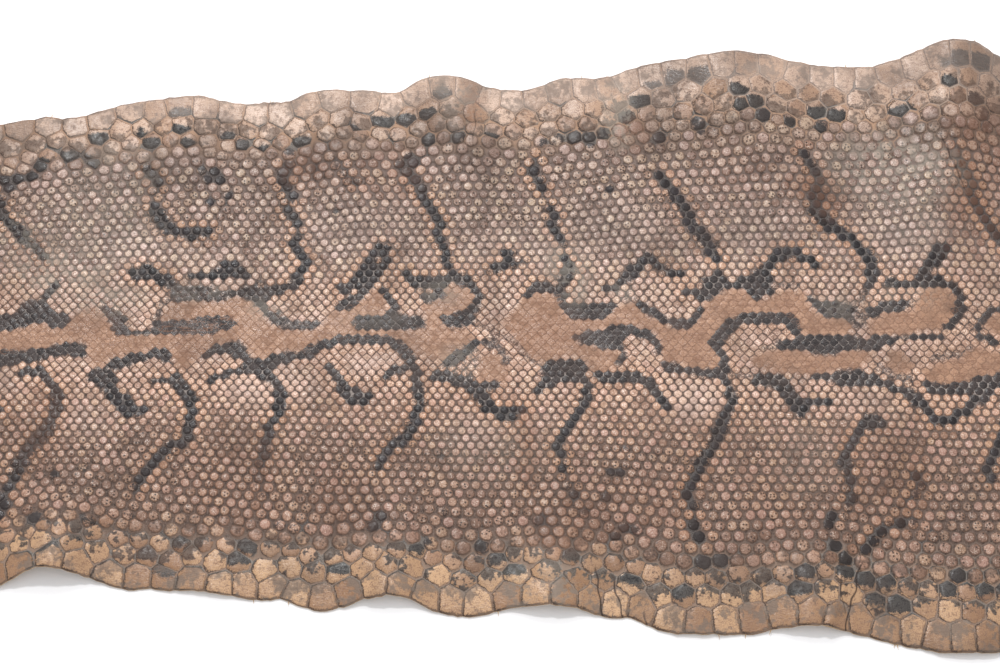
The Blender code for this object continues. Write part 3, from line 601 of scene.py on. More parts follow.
def run_distance(points, run):
    """How far each point lies from a line through the run's points."""
    nearest = np.full(len(points), 1e9)
    for start, end in zip(run, run[1:]):
        along = np.subtract(end, start)
        share = np.clip((points - start) @ along / max(along @ along, 1e-9), 0, 1)
        nearest = np.minimum(nearest, np.linalg.norm(points - start - share[:, None] * along, axis=1))
    return nearest


def patch_distance(points, outline):
    """How far each point lies outside an outline; below zero within it."""
    x, y = points.T
    inside = np.zeros(len(points), bool)
    closed = outline + outline[:1]
    for (ax, ay), (bx, by) in zip(closed, closed[1:]):
        crossing = (bx - ax) * (y - ay) / (by - ay if by != ay else 1e-9) + ax
        inside ^= ((ay > y) != (by > y)) & (x < crossing)
    return np.where(inside, -1, 1) * run_distance(points, closed)


def close_to(points, run, reach):
    """Numbers of the points in the box around a run, widened by the reach."""
    low, high = np.min(run, axis=0) - reach, np.max(run, axis=0) + reach
    return np.flatnonzero(((points > low) & (points < high)).all(axis=1))


def marked(points, marks, blur, closed):
    """How strongly each point is marked by lines (strength, half-width, points) or by patches.

    Patches are outlines with their strength; closed says which of the two the marks are.
    """
    shade = np.zeros(len(points))
    for strength, *width, run in marks:
        near = close_to(points, run, blur + MARK_MARGIN)
        if closed:
            off = patch_distance(points[near], run)
        else:
            off = run_distance(points[near], run) - width[0]
        shade[near] = np.maximum(shade[near], strength * smoothstep(blur, -blur, off))
    return shade


def blotched(points, spots, soft):
    """How strongly oval spots cover each point; soft is the share of a spot over which it fades."""
    shade = np.zeros(len(points))
    for x, y, half_length, half_width, strength in spots:
        off = np.hypot((points[:, 0] - x) / half_length, (points[:, 1] - y) / half_width)
        shade = np.maximum(shade, strength * smoothstep(1 + soft, 1 - soft, off))
    return shade


# The buckled form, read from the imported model

class BuckledForm:
    """Height of the flesh side and the two long edges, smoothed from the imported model's facets."""

    STEP = 4 * MM
    BLUR_STEPS = 3
    CALM_STEPS = 35  # the inner rows follow the edge as smoothed over this many steps
    CALM_WITHIN = 70 * MM  # rows nearer the spine than this follow only the smoothed edge
    TRUE_BEYOND = 132 * MM  # and rows farther out than this only the true one
    EDGE_INSET = 6 * MM  # the long edges are sought no nearer the ends than this
    HALVINGS = 16

    def __init__(self, node):
        solid = bmesh.new()
        solid.from_mesh(bpy.data.objects[node].data)
        bmesh.ops.remove_doubles(solid, verts=solid.verts[:], dist=1e-6)
        tree = BVHTree.FromBMesh(solid)
        solid.free()
        (self.x0, self.y0, _), (self.x1, self.y1, top) = cad_box
        self.nx = int((self.x1 - self.x0) / self.STEP) + 2
        self.ny = int((self.y1 - self.y0) / self.STEP) + 2
        heights = np.full((self.nx, self.ny), np.nan)
        for i in range(self.nx):
            for j in range(self.ny):
                start = Vector((self.x0 + i * self.STEP, self.y0 + j * self.STEP, -0.01))
                hit = tree.ray_cast(start, Vector((0, 0, 1)))[0]
                if hit is not None:
                    heights[i, j] = hit.z
        self.heights = self.blurred(self.filled(heights))
        self.upper, self.lower = self.edges(tree, top)

    @staticmethod
    def neighbours(grid):
        padded = np.pad(grid, 1, mode="edge")
        return [padded[i:i + grid.shape[0], j:j + grid.shape[1]] for i in (0, 1, 2) for j in (0, 1, 2)]

    def filled(self, grid):
        """Carries the heights on past the edge, so that the edge itself isn't blurred down."""
        while np.isnan(grid).any():
            around = np.array(self.neighbours(grid))
            known = np.isfinite(around).sum(axis=0)
            mean = np.nansum(around, axis=0) / np.maximum(known, 1)
            grid = np.where(np.isnan(grid) & (known > 0), mean, grid)
        return grid

    def blurred(self, grid):
        for _ in range(self.BLUR_STEPS):
            grid = np.mean(self.neighbours(grid), axis=0)
        return grid

    def edges(self, tree, top):
        """Y of both long edges at every step along the body."""
        upper, lower = [], []
        for i in range(self.nx):
            x = min(max(self.x0 + i * self.STEP, self.x0 + self.EDGE_INSET), self.x1 - self.EDGE_INSET)
            for found, side in ((upper, 1), (lower, -1)):
                inside, outside = 0.0, side * (self.y1 + 0.01)
                for _ in range(self.HALVINGS):
                    middle = (inside + outside) / 2
                    hit = tree.ray_cast(Vector((x, middle, top + 0.01)), Vector((0, 0, -1)))[0]
                    inside, outside = (middle, outside) if hit is not None else (inside, middle)
                found.append(inside)
        return np.array(upper), np.array(lower)

    def height(self, x, y):
        gx = np.clip((x - self.x0) / self.STEP, 0, self.nx - 1.001)
        gy = np.clip((y - self.y0) / self.STEP, 0, self.ny - 1.001)
        i, j = int(gx), int(gy)
        u, v = gx - i, gy - j
        h = self.heights
        low = h[i, j] * (1 - u) + h[i + 1, j] * u
        high = h[i, j + 1] * (1 - u) + h[i + 1, j + 1] * u
        return max(0.0, low * (1 - v) + high * v)

    def edge(self, x, side):
        known = self.upper if side > 0 else self.lower
        return float(np.interp(x, self.x0 + self.STEP * np.arange(self.nx), known))

    def row_reach(self, x, side, distance):
        """Where a row at this distance lies: inner rows follow a smoothed edge, the rim the true one."""
        known = self.upper if side > 0 else self.lower
        window = np.hanning(self.CALM_STEPS) / np.hanning(self.CALM_STEPS).sum()
        smooth = np.convolve(np.pad(known, self.CALM_STEPS // 2, mode="edge"), window, mode="valid")
        calm = np.interp(x, self.x0 + self.STEP * np.arange(self.nx), smooth)
        true = np.interp(x, self.x0 + self.STEP * np.arange(self.nx), known)
        rim = smoothstep(self.CALM_WITHIN, self.TRUE_BEYOND, distance)
        return (calm + rim * (true - calm)) / REFERENCE_HALF_WIDTH * distance


form = BuckledForm("python_skin")


# The net of scales

def spacing_at(distance, column):
    """A scale's length (column 1) or the step to the next row (column 2), in metres."""
    known = np.array(SCALE_SPACING)
    return float(np.interp(distance / MM, known[:, 0], known[:, column])) * MM


def next_row(row, pitch):
    """Scales between those of the last row; where they would stand too close, one drops out."""
    places = (row[1:] + row[:-1]) / 2
    if places[0] > pitch - ROW_REACH:
        places = np.concatenate([[places[0] - pitch], places])
    if places[-1] < ROW_REACH - pitch:
        places = np.concatenate([places, [places[-1] + pitch]])
    wanted = int((places[-1] - places[0]) / pitch) + 1
    while len(places) > wanted + 1:
        gaps = places[2:] - places[:-2] + rng.normal(0, DROP_UNEVENNESS * pitch, len(places) - 2)
        tightest = int(np.argmin(gaps)) + 1
        places = np.delete(places, tightest)
        near = slice(max(1, tightest - SPREAD_OVER), min(len(places) - 1, tightest + SPREAD_OVER))
        for _ in range(SPREAD_ROUNDS):
            smoothed = (places[:-2] + places[2:]) / 2
            places[1:-1][near] += 0.5 * (smoothed[near] - places[1:-1][near])
    return places


def scale_centres():
    """Rows of scales, each fitted between those of the last row, from the spine to both edges."""
    spine_row = np.arange(-ROW_REACH, ROW_REACH, spacing_at(0, 1))
    centres, distances = [], []
    for side in (1, -1):
        row, distance, number = spine_row, 0.0, 0
        while distance < REFERENCE_HALF_WIDTH - LAST_ROW_IN:
            if number or side > 0:
                centres.extend(zip(row, form.row_reach(row, side, distance)))
                distances.extend([distance] * len(row))
            distance += spacing_at(distance, 2)
            row = next_row(row, spacing_at(distance, 1))
            number += 1
    centres, distances = np.array(centres), np.array(distances)
    on_plates = smoothstep(95, 120, distances / MM)[:, None]
    wobble = rng.normal(0, UNEVENNESS, centres.shape)
    wobble += on_plates * rng.normal(0, PLATE_UNEVENNESS, centres.shape)
    pitches = np.interp(distances / MM, [s[0] for s in SCALE_SPACING], [s[1] for s in SCALE_SPACING]) * MM
    return evened(centres, distances) + wobble * pitches[:, None], distances


def evened(centres, distances):
    """Eases each scale towards the middle of those around it, as scales pack on a body."""
    at_edge = distances > REFERENCE_HALF_WIDTH - HELD_NEAR_EDGE
    held = at_edge | (abs(centres[:, 0]) > ROW_REACH - HELD_NEAR_END)
    for _ in range(EASING_ROUNDS):
        links = delaunay_2d_cdt([Vector(p) for p in centres], [], [], 0, 1e-7)[1]
        one, other = np.array(links).T
        total, count = np.zeros_like(centres), np.zeros(len(centres))
        for a, b in ((one, other), (other, one)):
            np.add.at(total, a, centres[b])
            np.add.at(count, a, 1)
        middles = total / np.maximum(count, 1)[:, None]
        centres = np.where(held[:, None], centres, centres + EASING_SHARE * (middles - centres))
    return centres


def mirrored_past_edge(centres):
    """Ghosts of the edge scales beyond both long edges, so that the cells' sides lie on the edge."""
    ghosts = []
    for x, y in centres:
        side = 1 if y > 0 else -1
        edge = form.edge(x, side)
        if abs(edge - y) < GHOST_ROWS * spacing_at(REFERENCE_HALF_WIDTH, 2):
            ghosts.append((x, 2 * edge - y))
    return np.array(ghosts)


def meeting_point(a, b, c):
    """Where three scales meet: the point equally far from their centres, kept inside their triangle."""
    ab, ac = b - a, c - a
    area = 2 * (ab.x * ac.y - ab.y * ac.x)
    middle = (a + b + c) / 3
    if abs(area) < 1e-12:
        return middle
    around = a + Vector((ac.y * ab.length_squared - ab.y * ac.length_squared,
                         ab.x * ac.length_squared - ac.x * ab.length_squared)) / area
    reach = min((p - middle).length for p in (a, b, c))
    away = around - middle
    if away.length > CORNER_REACH * reach:
        away *= CORNER_REACH * reach / away.length
    return middle + away


def cell_net(centres):
    """The flat net of scale outlines: a Delaunay mesh of the centres, turned into its dual."""
    ghosts = mirrored_past_edge(centres)
    points = [Vector(p) for p in np.concatenate([centres, ghosts])]
    verts, _, faces, sources, _, _ = delaunay_2d_cdt(points, [], [], 0, 1e-7)
    links = bpy.data.meshes.new("scale_links")
    links.from_pydata([(p.x, p.y, 0) for p in verts], [], faces)
    number = links.attributes.new("scale", "INT", "POINT")
    number.data.foreach_set("value", [s[0] if s and s[0] < len(centres) else -1 for s in sources])
    meeting = links.attributes.new("meeting", "FLOAT_VECTOR", "FACE")
    corners = [meeting_point(*(verts[i] for i in face)) for face in faces]
    meeting.data.foreach_set("vector", [c for p in corners for c in (p.x, p.y, 0)])
    holder = bpy.data.objects.new("scale_links", links)
    bpy.context.scene.collection.objects.link(holder)
    holder.modifiers.new("dual", "NODES").node_group = dual_nodes()
    cells = bpy.data.meshes.new_from_object(holder.evaluated_get(bpy.context.evaluated_depsgraph_get()))
    bpy.data.objects.remove(holder)
    placed = np.empty(3 * len(cells.vertices))
    cells.attributes["meeting"].data.foreach_get("vector", placed)
    cells.vertices.foreach_set("co", placed)
    net = bmesh.new()
    net.from_mesh(cells)
    scale = net.faces.layers.int["scale"]
    bmesh.ops.delete(net, geom=[f for f in net.faces if f[scale] < 0], context="FACES")
    return net


def dual_nodes():
    """Geometry nodes that turn a mesh of links between centres into the cells round them."""
    group = bpy.data.node_groups.new("dual", "GeometryNodeTree")
    group.interface.new_socket("Geometry", in_out="INPUT", socket_type="NodeSocketGeometry")
    group.interface.new_socket("Geometry", in_out="OUTPUT", socket_type="NodeSocketGeometry")
    kinds = ("NodeGroupInput", "GeometryNodeDualMesh", "NodeGroupOutput")
    start, dual, end = (group.nodes.new(kind) for kind in kinds)
    group.links.new(start.outputs[0], dual.inputs["Mesh"])
    group.links.new(dual.outputs[0], end.inputs[0])
    return group


def cut_ends(net):
    """Plain knife cuts across the rows at both ends."""
    for side in (1, -1):
        everything = net.verts[:] + net.edges[:] + net.faces[:]
        place = Vector((side * (HIDE_LENGTH / 2 - END_TRIM), 0, 0))
        facing = Vector((side, 0.01, 0))
        bmesh.ops.bisect_plane(net, geom=everything, dist=1e-6, plane_co=place, plane_no=facing,
                               clear_outer=True)


def roughen_rim(net):
    """Brings the long edges onto the true outline, with the small bites and tears of a dried rim."""
    reach = HIDE_LENGTH / 2 - END_MARGIN
    rim = {v for e in net.edges if e.is_boundary for v in e.verts if abs(v.co.x) < reach}
    bmesh.ops.dissolve_verts(net, verts=[v for v in rim if len(v.link_edges) == 2])
    bmesh.ops.subdivide_edges(net, edges=[e for e in net.edges if e.is_boundary], cuts=RIM_CUTS)
    for v in {v for e in net.edges if e.is_boundary for v in e.verts}:
        if abs(v.co.x) > reach:
            continue
        side = 1 if v.co.y > 0 else -1
        ragged = noise.noise(Vector((v.co.x / FRAY_LENGTH, side, 0)))
        waved = noise.noise(Vector((v.co.x / WAVE_LENGTH, side, 5)))
        bite = SEAM_BITE if len(v.link_faces) > 1 else 0.0
        inset = RIM_INSET + bite + FRAY_DEPTH * ragged + WAVE_DEPTH * waved
        v.co.y = form.edge(v.co.x, side) - side * inset


def fold_height(places):
    """How far folds and creases move the scale side at places in millimetres, in metres."""
    height = np.zeros(len(places))
    for rise, half_width, run in FOLDS:
        near = close_to(places, run, 3 * half_width)
        height[near] += rise * MM * np.exp(-(run_distance(places[near], run) / half_width) ** 2)
    return height


def thicken(net):
    """Lays the flat net on the buckled form and thickens it; returns the faces of the scale side."""
    for v in net.verts:
        v.co.z = form.height(v.co.x, v.co.y)
    flesh_side = net.faces[:]
    grown = bmesh.ops.extrude_face_region(net, geom=flesh_side, use_keep_orig=True)["geom"]
    for v in grown:
        if isinstance(v, bmesh.types.BMVert):
            v.co.z += HIDE_THICKNESS
    bmesh.ops.reverse_faces(net, faces=flesh_side)
    return [f for f in grown if isinstance(f, bmesh.types.BMFace)]


def shape_at(distance, column):
    """A value of the scale shapes at a distance from the spine, in the list's own units."""
    known = np.array(SCALE_SHAPES)
    return float(np.interp(distance / MM, known[:, 0], known[:, column]))


def raise_scales(net, upper, centres, distances, smooth):
    """Shapes each cell of the scale side as a low dome in a groove, its tail edge standing up.

    The share in smooth, one for each scale, flattens the dome and its groove.
    """
    scale = net.faces.layers.int["scale"]
    ring_share = net.verts.layers.float["ring_share"]
    home = net.verts.layers.int["home"]
    for v in net.verts:
        v[ring_share] = 1
        v[home] = -1
    for v in {v for f in upper for v in f.verts}:
        around = [f for f in v.link_faces if f[scale] >= 0]
        own = around[0][scale]
        v.co.z -= GROOVE_SHARE * shape_at(distances[own], 1) * (1 - smooth[own]) * MM
    near_spine = [f for f in upper if distances[f[scale]] < ONE_RING_WITHIN]
    on_flanks = [f for f in upper if distances[f[scale]] >= ONE_RING_WITHIN]
    for chosen, rings in ((near_spine, (FIRST_RING,)), (on_flanks, (FIRST_RING, SECOND_RING))):
        last_share = 1.0
        for number, share in enumerate(rings):
            bmesh.ops.inset_individual(net, faces=chosen, thickness=0, depth=0)
            for f in chosen:
                own = f[scale]
                height, lift, roundness = (shape_at(distances[own], k) for k in (1, 2, 3))
                centre = Vector(centres[own]).to_3d()
                flat = [Vector((v.co.x, v.co.y, 0)) - centre for v in f.verts]
                radius = sum(d.length for d in flat) / len(flat)
                for v, d in zip(f.verts, flat):
                    rounder = 1 - ROUNDING * roundness * (d.length / radius - 1) if number == 0 else 1.0
                    place = centre + d * (share / last_share * rounder)
                    dome = sqrt(1 - share ** 2)
                    v.co.x, v.co.y = place.x, place.y
                    v.co.z = form.height(place.x, place.y) + HIDE_THICKNESS
                    v.co.z += (height * dome - lift * d.x / radius * share) * (1 - smooth[own]) * MM
                    v[ring_share] = share
                    v[home] = own
            last_share = share
        crowns = bmesh.ops.poke(net, faces=chosen)["verts"]
        for v in crowns:
            own = v.link_faces[0][scale]
            rest = (1 - sqrt(1 - rings[-1] ** 2)) * shape_at(distances[own], 1)
            v.co.z += rest * (1 - smooth[own]) * MM
            v[ring_share] = 0
            v[home] = own


def number_corners(net, centres):
    """Gives each corner its place within its scale, one unit being the scale's mean radius."""
    scale = net.faces.layers.int["scale"]
    ring_share = net.verts.layers.float["ring_share"]
    place = net.loops.layers.uv["scale_place"]
    radii = {}
    for f in net.faces:
        for v in f.verts:
            if v[ring_share] == 1 and f[scale] >= 0:
                off = hypot(v.co.x - centres[f[scale]][0], v.co.y - centres[f[scale]][1])
                radii.setdefault(f[scale], []).append(off)
    for f in net.faces:
        own = f[scale]
        if own not in radii:
            continue
        radius = sum(radii[own]) / len(radii[own])
        for loop in f.loops:
            off = (Vector(loop.vert.co[:2]) - Vector(centres[own])) / radius
            loop[place].uv = (off.x, off.y)


# What each part of the hide shows

def as_drawn(x, y, z):
    """The place on the floor behind a point as the camera sees it, where the marks were drawn, in mm."""
    return np.stack([x * (1 + z / CAMERA_DISTANCE), y + z / tan(CAMERA_ELEVATION)], axis=1) / MM


def pale_marks():
    return [(1, outline) for outline in PALE_PATCHES]


def write_looks(mesh, centres, distances):
    """Writes the markings, the reddish-brown places, the painted sheen and shade, and each scale's own
    tone on the mesh's vertices.
    """
    count = len(mesh.vertices)
    corners = np.empty(3 * count)
    mesh.vertices.foreach_get("co", corners)
    places = as_drawn(*corners.reshape(-1, 3).T)
    home = np.empty(count, dtype=int)
    mesh.attributes["home"].data.foreach_get("value", home)
    tops = [form.height(x, y) + HIDE_THICKNESS for x, y in centres]
    middles = as_drawn(centres[:, 0], centres[:, 1], np.array(tops))
    outward = np.append(distances / MM, 0)[home]

    def scalewise(look, follows):
        """A look that each scale takes from its middle, by the share given, and else from the place."""
        shares = np.where(home < 0, 0, follows)
        return (1 - shares) * look(places) + shares * np.append(look(middles), 0)[home]

    def dark(points):
        spread = [(strength, half_width + LINE_SPREAD, run) for strength, half_width, run in DARK_LINES]
        lines = marked(points, spread, MARK_BLUR, closed=False)
        return np.maximum(lines, marked(points, DARK_PATCHES, MARK_BLUR, closed=True))

    def beside_dark(points):
        wide = [(strength, half_width + HALO_WIDTH, run) for strength, half_width, run in DARK_LINES]
        return marked(points, wide, HALO_BLUR, closed=False)

    def pale(points):
        return marked(points, pale_marks(), MARK_BLUR, closed=True)

    reference = REFERENCE_HALF_WIDTH / MM
    by_place = np.abs(places[:, 1]) * reference / MEAN_HALF_WIDTH
    own_tone = np.append(rng.random(len(centres)), 0.5)[home]
    own_speck = np.append(rng.random(len(centres)), 0)[home]
    looks = {
        "dark": scalewise(dark, 0.65),
        "blotch": scalewise(lambda points: blotched(points, EDGE_BLOTCHES, 0.25), 0.7),
        "pale": scalewise(pale, 0.5),
        "beside_dark": scalewise(beside_dark, 0.8),
        "grey_sheen": blotched(places, GREY_SHEEN_PLACES, 0.6),
        "ruddy_and_shade": blotched(places, RUDDY_AND_SHADE_PLACES, 0.6),
        "glossy_sheen": blotched(places, GLOSSY_SHEEN_PLACES, 0.7),
        "tone": own_tone,
        "speck": own_speck,
        "outward": np.where(home < 0, by_place, outward) / reference,
    }
    for name, values in looks.items():
        mesh.attributes.new(name, "FLOAT", "POINT").data.foreach_set("value", values.astype(np.float32))


# Materials

def add(tree, kind, inputs, **settings):
    """Adds a node with its settings, and feeds each input from a value or from another output."""
    made = tree.nodes.new("ShaderNode" + kind)
    for name, value in settings.items():
        setattr(made, name, value)
    for socket, value in inputs.items():
        if isinstance(value, bpy.types.NodeSocket):
            tree.links.new(value, made.inputs[socket])
        else:
            made.inputs[socket].default_value = value
    return made.outputs[0]


def hide_material():
    """Scale side of vegetable-tanned python leather: keratin scales, glazed by hand, on matt skin.

    The eye reads thin horny plates with a soft sheen, each a little different in tone, and between
    them dull, darker skin. Tan, stain and charcoal pigment lie in the scales, not on them. The colour
    also holds painted light: highlights on the crowns, sheen on the upper flank and in glossy places,
    and shade over the flanks, on the folds, in the creases and at the scales' tail edges.
    """
    leather = bpy.data.materials.new("vegetable_tanned_python_leather_scale_side")
    leather.use_nodes = True
    tree = leather.node_tree
    shader = tree.nodes["Principled BSDF"]

    def value_of(name):
        return add(tree, "Attribute", {}, attribute_name=name).node.outputs["Fac"]

    def sum_up(operation, first, second, third=0.0):
        return add(tree, "Math", {0: first, 1: second, 2: third}, operation=operation, use_clamp=False)

    def ramp(value, low, high):
        return add(tree, "MapRange", {"Value": value, "From Min": low, "From Max": high},
                   interpolation_type="SMOOTHSTEP")

    def blend(share, under, over):
        return add(tree, "Mix", {0: share, 6: under, 7: over}, data_type="RGBA").node.outputs[2]

    def flat_place(stretch):
        seen = add(tree, "TexCoord", {}).node.outputs["Object"]
        return add(tree, "Mapping", {"Vector": seen, "Scale": stretch})

    def grain(millimetres, detail, roughness=0.6, stretch=(1, 1, 1)):
        """Noise in plan, spread evenly around nought."""
        made = add(tree, "TexNoise", {"Vector": flat_place(stretch), "Scale": 1 / (millimetres * MM),
                                      "Detail": detail, "Roughness": roughness}, noise_dimensions="2D")
        return sum_up("MULTIPLY", sum_up("SUBTRACT", made, 0.5), 2.4)

    def both(first, second):
        return sum_up("MULTIPLY", first, second)

    def crease_shade_line(x, drift, low, high, half_width):
        """A thin line across the body that wanders a little, given in millimetres."""
        run = sum_up("MULTIPLY_ADD", height, drift, (x - drift * low) * MM)
        off = sum_up("ADD", sum_up("SUBTRACT", body, run), both(wander, 1.4 * MM))
        line = ramp(sum_up("ABSOLUTE", off, 0.0), half_width * MM, 0.0)
        begun = ramp(height, (low - 2) * MM, (low + 3) * MM)
        unended = ramp(height, (high + 2) * MM, (high - 5) * MM)
        return both(line, both(begun, unended))

    place = add(tree, "UVMap", {}, uv_map="scale_place")
    radius = add(tree, "VectorMath", {0: place}, operation="LENGTH").node.outputs["Value"]
    share, dark, blotch, pale = (value_of(k) for k in ("ring_share", "dark", "blotch", "pale"))
    tone, hue, outward = (value_of(k) for k in ("tone", "speck", "outward"))
    body = add(tree, "SeparateXYZ", {0: add(tree, "TexCoord", {}).node.outputs["Object"]})
    height = body.node.outputs["Y"]
    above = ramp(height, -50 * MM, 50 * MM)
    not_pale = sum_up("SUBTRACT", 1.0, pale)

    # Where the scale ends and the skin between the scales begins: discs on the flanks
    patchy = grain(2.6, 2)
    wander = grain(9, 0)
    fine = grain(0.6, 2, 0.7)
    clouds = grain(11, 3)
    on_flanks = both(ramp(outward, 0.15, 0.36), ramp(outward, 0.86, 0.72))
    tightness = sum_up("MULTIPLY_ADD", ramp(outward, 0.72, 0.84), -0.10, 1.17)
    tightness = sum_up("MULTIPLY_ADD", on_flanks, 0.11, tightness)
    round_zone = both(both(ramp(outward, 0.02, 0.14), ramp(outward, 0.95, 0.84)), not_pale)
    uneven = sum_up("ADD", both(fine, 0.10), both(patchy, 0.10))
    roundish = both(both(radius, tightness), round_zone)
    rim = sum_up("ADD", sum_up("MAXIMUM", share, roundish), uneven)
    plate = ramp(rim, 0.97, 0.88)
    on_rim = ramp(outward, 0.90, 0.955)
    outer = ramp(outward, 0.70, 0.82)
    near_spine = ramp(outward, 0.34, 0.16)

    # Charcoal breaks up at its edges, and on the outer flanks it lies between the scales too
    broken = sum_up("ADD", both(patchy, 0.3), both(fine, 0.3))
    stain = ramp(sum_up("ADD", dark, both(broken, 0.8)), 0.25, 0.65)
    along = add(tree, "SeparateXYZ", {0: place})
    inward = both(along.node.outputs["Y"], sum_up("MULTIPLY_ADD", above, -2.0, 1.0))
    creep = sum_up("MULTIPLY_ADD", inward, 0.45, sum_up("MULTIPLY_ADD", patchy, 0.4, clouds))
    creeping = both(both(outer, ramp(outward, 0.975, 0.90)), ramp(creep, 0.0, 0.16))
    creeping = both(creeping, sum_up("MULTIPLY_ADD", above, -0.35, 0.85))
    one_sided = ramp(outward, 0.76, 0.84)
    half = sum_up("MULTIPLY_ADD", inward, one_sided, sum_up("MULTIPLY_ADD", broken, 0.7, 1.0))
    smudge = ramp(both(blotch, half), 0.42, 0.62)
    stain = sum_up("MAXIMUM", stain, sum_up("MAXIMUM", smudge, creeping))

    # The scales: tan on the lower flank, each a little pinker or yellower; pinkish grey on the upper
    # flank, where lighter and greyer copies of the same colours stand for painted sheen
    pinker = blend(above, srgb(FLANK_PINK), srgb(LIT_UPPER_PINK))
    yellower = blend(above, srgb(FLANK_GOLD), srgb(LIT_UPPER_GOLD))
    plain = blend(above, srgb(FLANK_TAN), srgb(LIT_UPPER_TAN))
    scales = blend(ramp(tone, 0.0, 0.7), plain, blend(hue, pinker, yellower))
    scales = blend(both(value_of("beside_dark"), 0.65), scales, srgb(HALO_PEACH))
    # Painted sheen: the upper rim's scales lighter than the lower rim's
    rim_tones = blend(tone, blend(above, srgb(RIM_TAN), srgb(LIT_UPPER_RIM_TAN)),
                      blend(above, srgb(RIM_CREAM), srgb(LIT_UPPER_RIM_CREAM)))
    scales = blend(ramp(outward, 0.72, 0.86), scales, rim_tones)
    scales = blend(both(near_spine, 0.4), scales, srgb(INNER_PINK))
    scales = blend(pale, scales, blend(tone, srgb(SPINE_TAN), srgb(SPINE_PALE)))
    scales = blend(both(ramp(clouds, 0.0, 0.5), 0.5), scales, srgb(CLOUD_BROWN))
    mottled = ramp(sum_up("ADD", fine, both(patchy, 0.6)), -0.02, 0.45)
    scales = blend(both(mottled, sum_up("MULTIPLY_ADD", pale, -0.1, 0.7)), scales, srgb(MOTTLE_BROWN))
    # Painted highlights: a cream glint on the crown of each flank scale, broken up by noise
    crown_highlight = ramp(sum_up("SUBTRACT", both(patchy, -0.5), fine), 0.18, 0.45)
    crown_highlight = both(both(crown_highlight, ramp(radius, 0.70, 0.35)), both(not_pale, ramp(outward, 0.82, 0.66)))
    scales = blend(both(crown_highlight, 0.9), scales, srgb(HIGHLIGHT_CREAM))

    # Brown specks on the flank scales, and a dark ring round each
    spots = add(tree, "TexVoronoi", {"Vector": flat_place((1, 1, 1)), "Scale": 1 / (1.75 * MM)},
                voronoi_dimensions="2D").node
    picked = add(tree, "SeparateXYZ", {0: spots.outputs["Color"]})
    crowd = sum_up("ADD", hue, both(clouds, 0.9))
    dots = both(ramp(sum_up("ADD", spots.outputs["Distance"], both(fine, 0.20)), 0.36, 0.16),
                ramp(sum_up("SUBTRACT", both(crowd, 0.8), picked), -0.10, 0.10))
    on_dotted = both(ramp(outward, 0.22, 0.46), ramp(outward, 0.94, 0.88))
    dots = both(both(dots, ramp(radius, 0.72, 0.55)), on_dotted)
    dots = both(both(dots, not_pale), sum_up("MULTIPLY_ADD", outer, -0.7, 1.0))
    scales = blend(dots, scales, srgb(SPECK_AND_SHADOW_BROWN))
    wide_ring = both(ramp(rim, 0.70, 0.90), ramp(outward, 0.84, 0.74))
    edge_ring = sum_up("MAXIMUM", wide_ring, ramp(rim, 0.84, 0.92))
    scales = blend(both(edge_ring, sum_up("MULTIPLY_ADD", pale, -0.65, 0.78)), scales, srgb(RING_BROWN))

    # The skin between the scales
    # Painted sheen: the skin on the upper side lighter than below
    between = blend(above, srgb(FLANK_SKIN), srgb(LIT_UPPER_SKIN))
    between = blend(ramp(patchy, -0.05, 0.50), between, srgb(SKIN_SHADE))
    between = blend(both(ramp(fine, 0.0, 0.55), 0.8), between, srgb(SKIN_LIGHT))
    between = blend(both(near_spine, 0.6), between, srgb(SKIN_SHADE))
    between = blend(outer, between, blend(above, srgb(RIM_SKIN), srgb(LIT_UPPER_RIM_TAN)))
    between = blend(pale, between, blend(mottled, srgb(SPINE_SKIN), srgb(CLOUD_BROWN)))

    # Charcoal: near-black discs on light grey skin, and a fine pale net over it beside the spine
    greyer = ramp(sum_up("ADD", tone, both(fine, 1.4)), 0.2, 1.5)
    charcoal = blend(greyer, srgb(CHARCOAL), srgb(CHARCOAL_GREY))
    streaked = ramp(sum_up("ADD", fine, both(tone, 0.5)), -0.25, 0.65)
    beside_spine = blend(streaked, srgb(SPINE_CHARCOAL_DARK), srgb(SPINE_CHARCOAL))
    charcoal = blend(near_spine, charcoal, beside_spine)
    charcoal = blend(both(outer, 0.8), charcoal, blend(mottled, srgb(BLOT_GREY), srgb(CHARCOAL)))
    stained_skin = blend(ramp(fine, -0.30, 0.45), srgb(STAINED_SKIN_GREY), srgb(STAINED_SKIN_DARK))
    pale_net = blend(ramp(patchy, -0.35, 0.30), srgb(SPINE_SKIN_GREY), srgb(SPINE_CHARCOAL))
    stained_skin = blend(near_spine, stained_skin, pale_net)
    stained_skin = blend(outer, stained_skin, blend(mottled, srgb(OUTER_SKIN_GREY), srgb(BLOT_GREY)))
    colour = blend(plate, blend(stain, between, stained_skin), blend(stain, scales, charcoal))
    # Painted shadow: a thin dark line at the free edge of each outer scale, on its tail side
    tail_edge_shadow = both(both(ramp(rim, 0.86, 0.92), ramp(rim, 1.02, 0.95)), ramp(along, 0.15, -0.45))
    colour = blend(both(both(tail_edge_shadow, outer), 0.8), colour, srgb(SPECK_AND_SHADOW_BROWN))

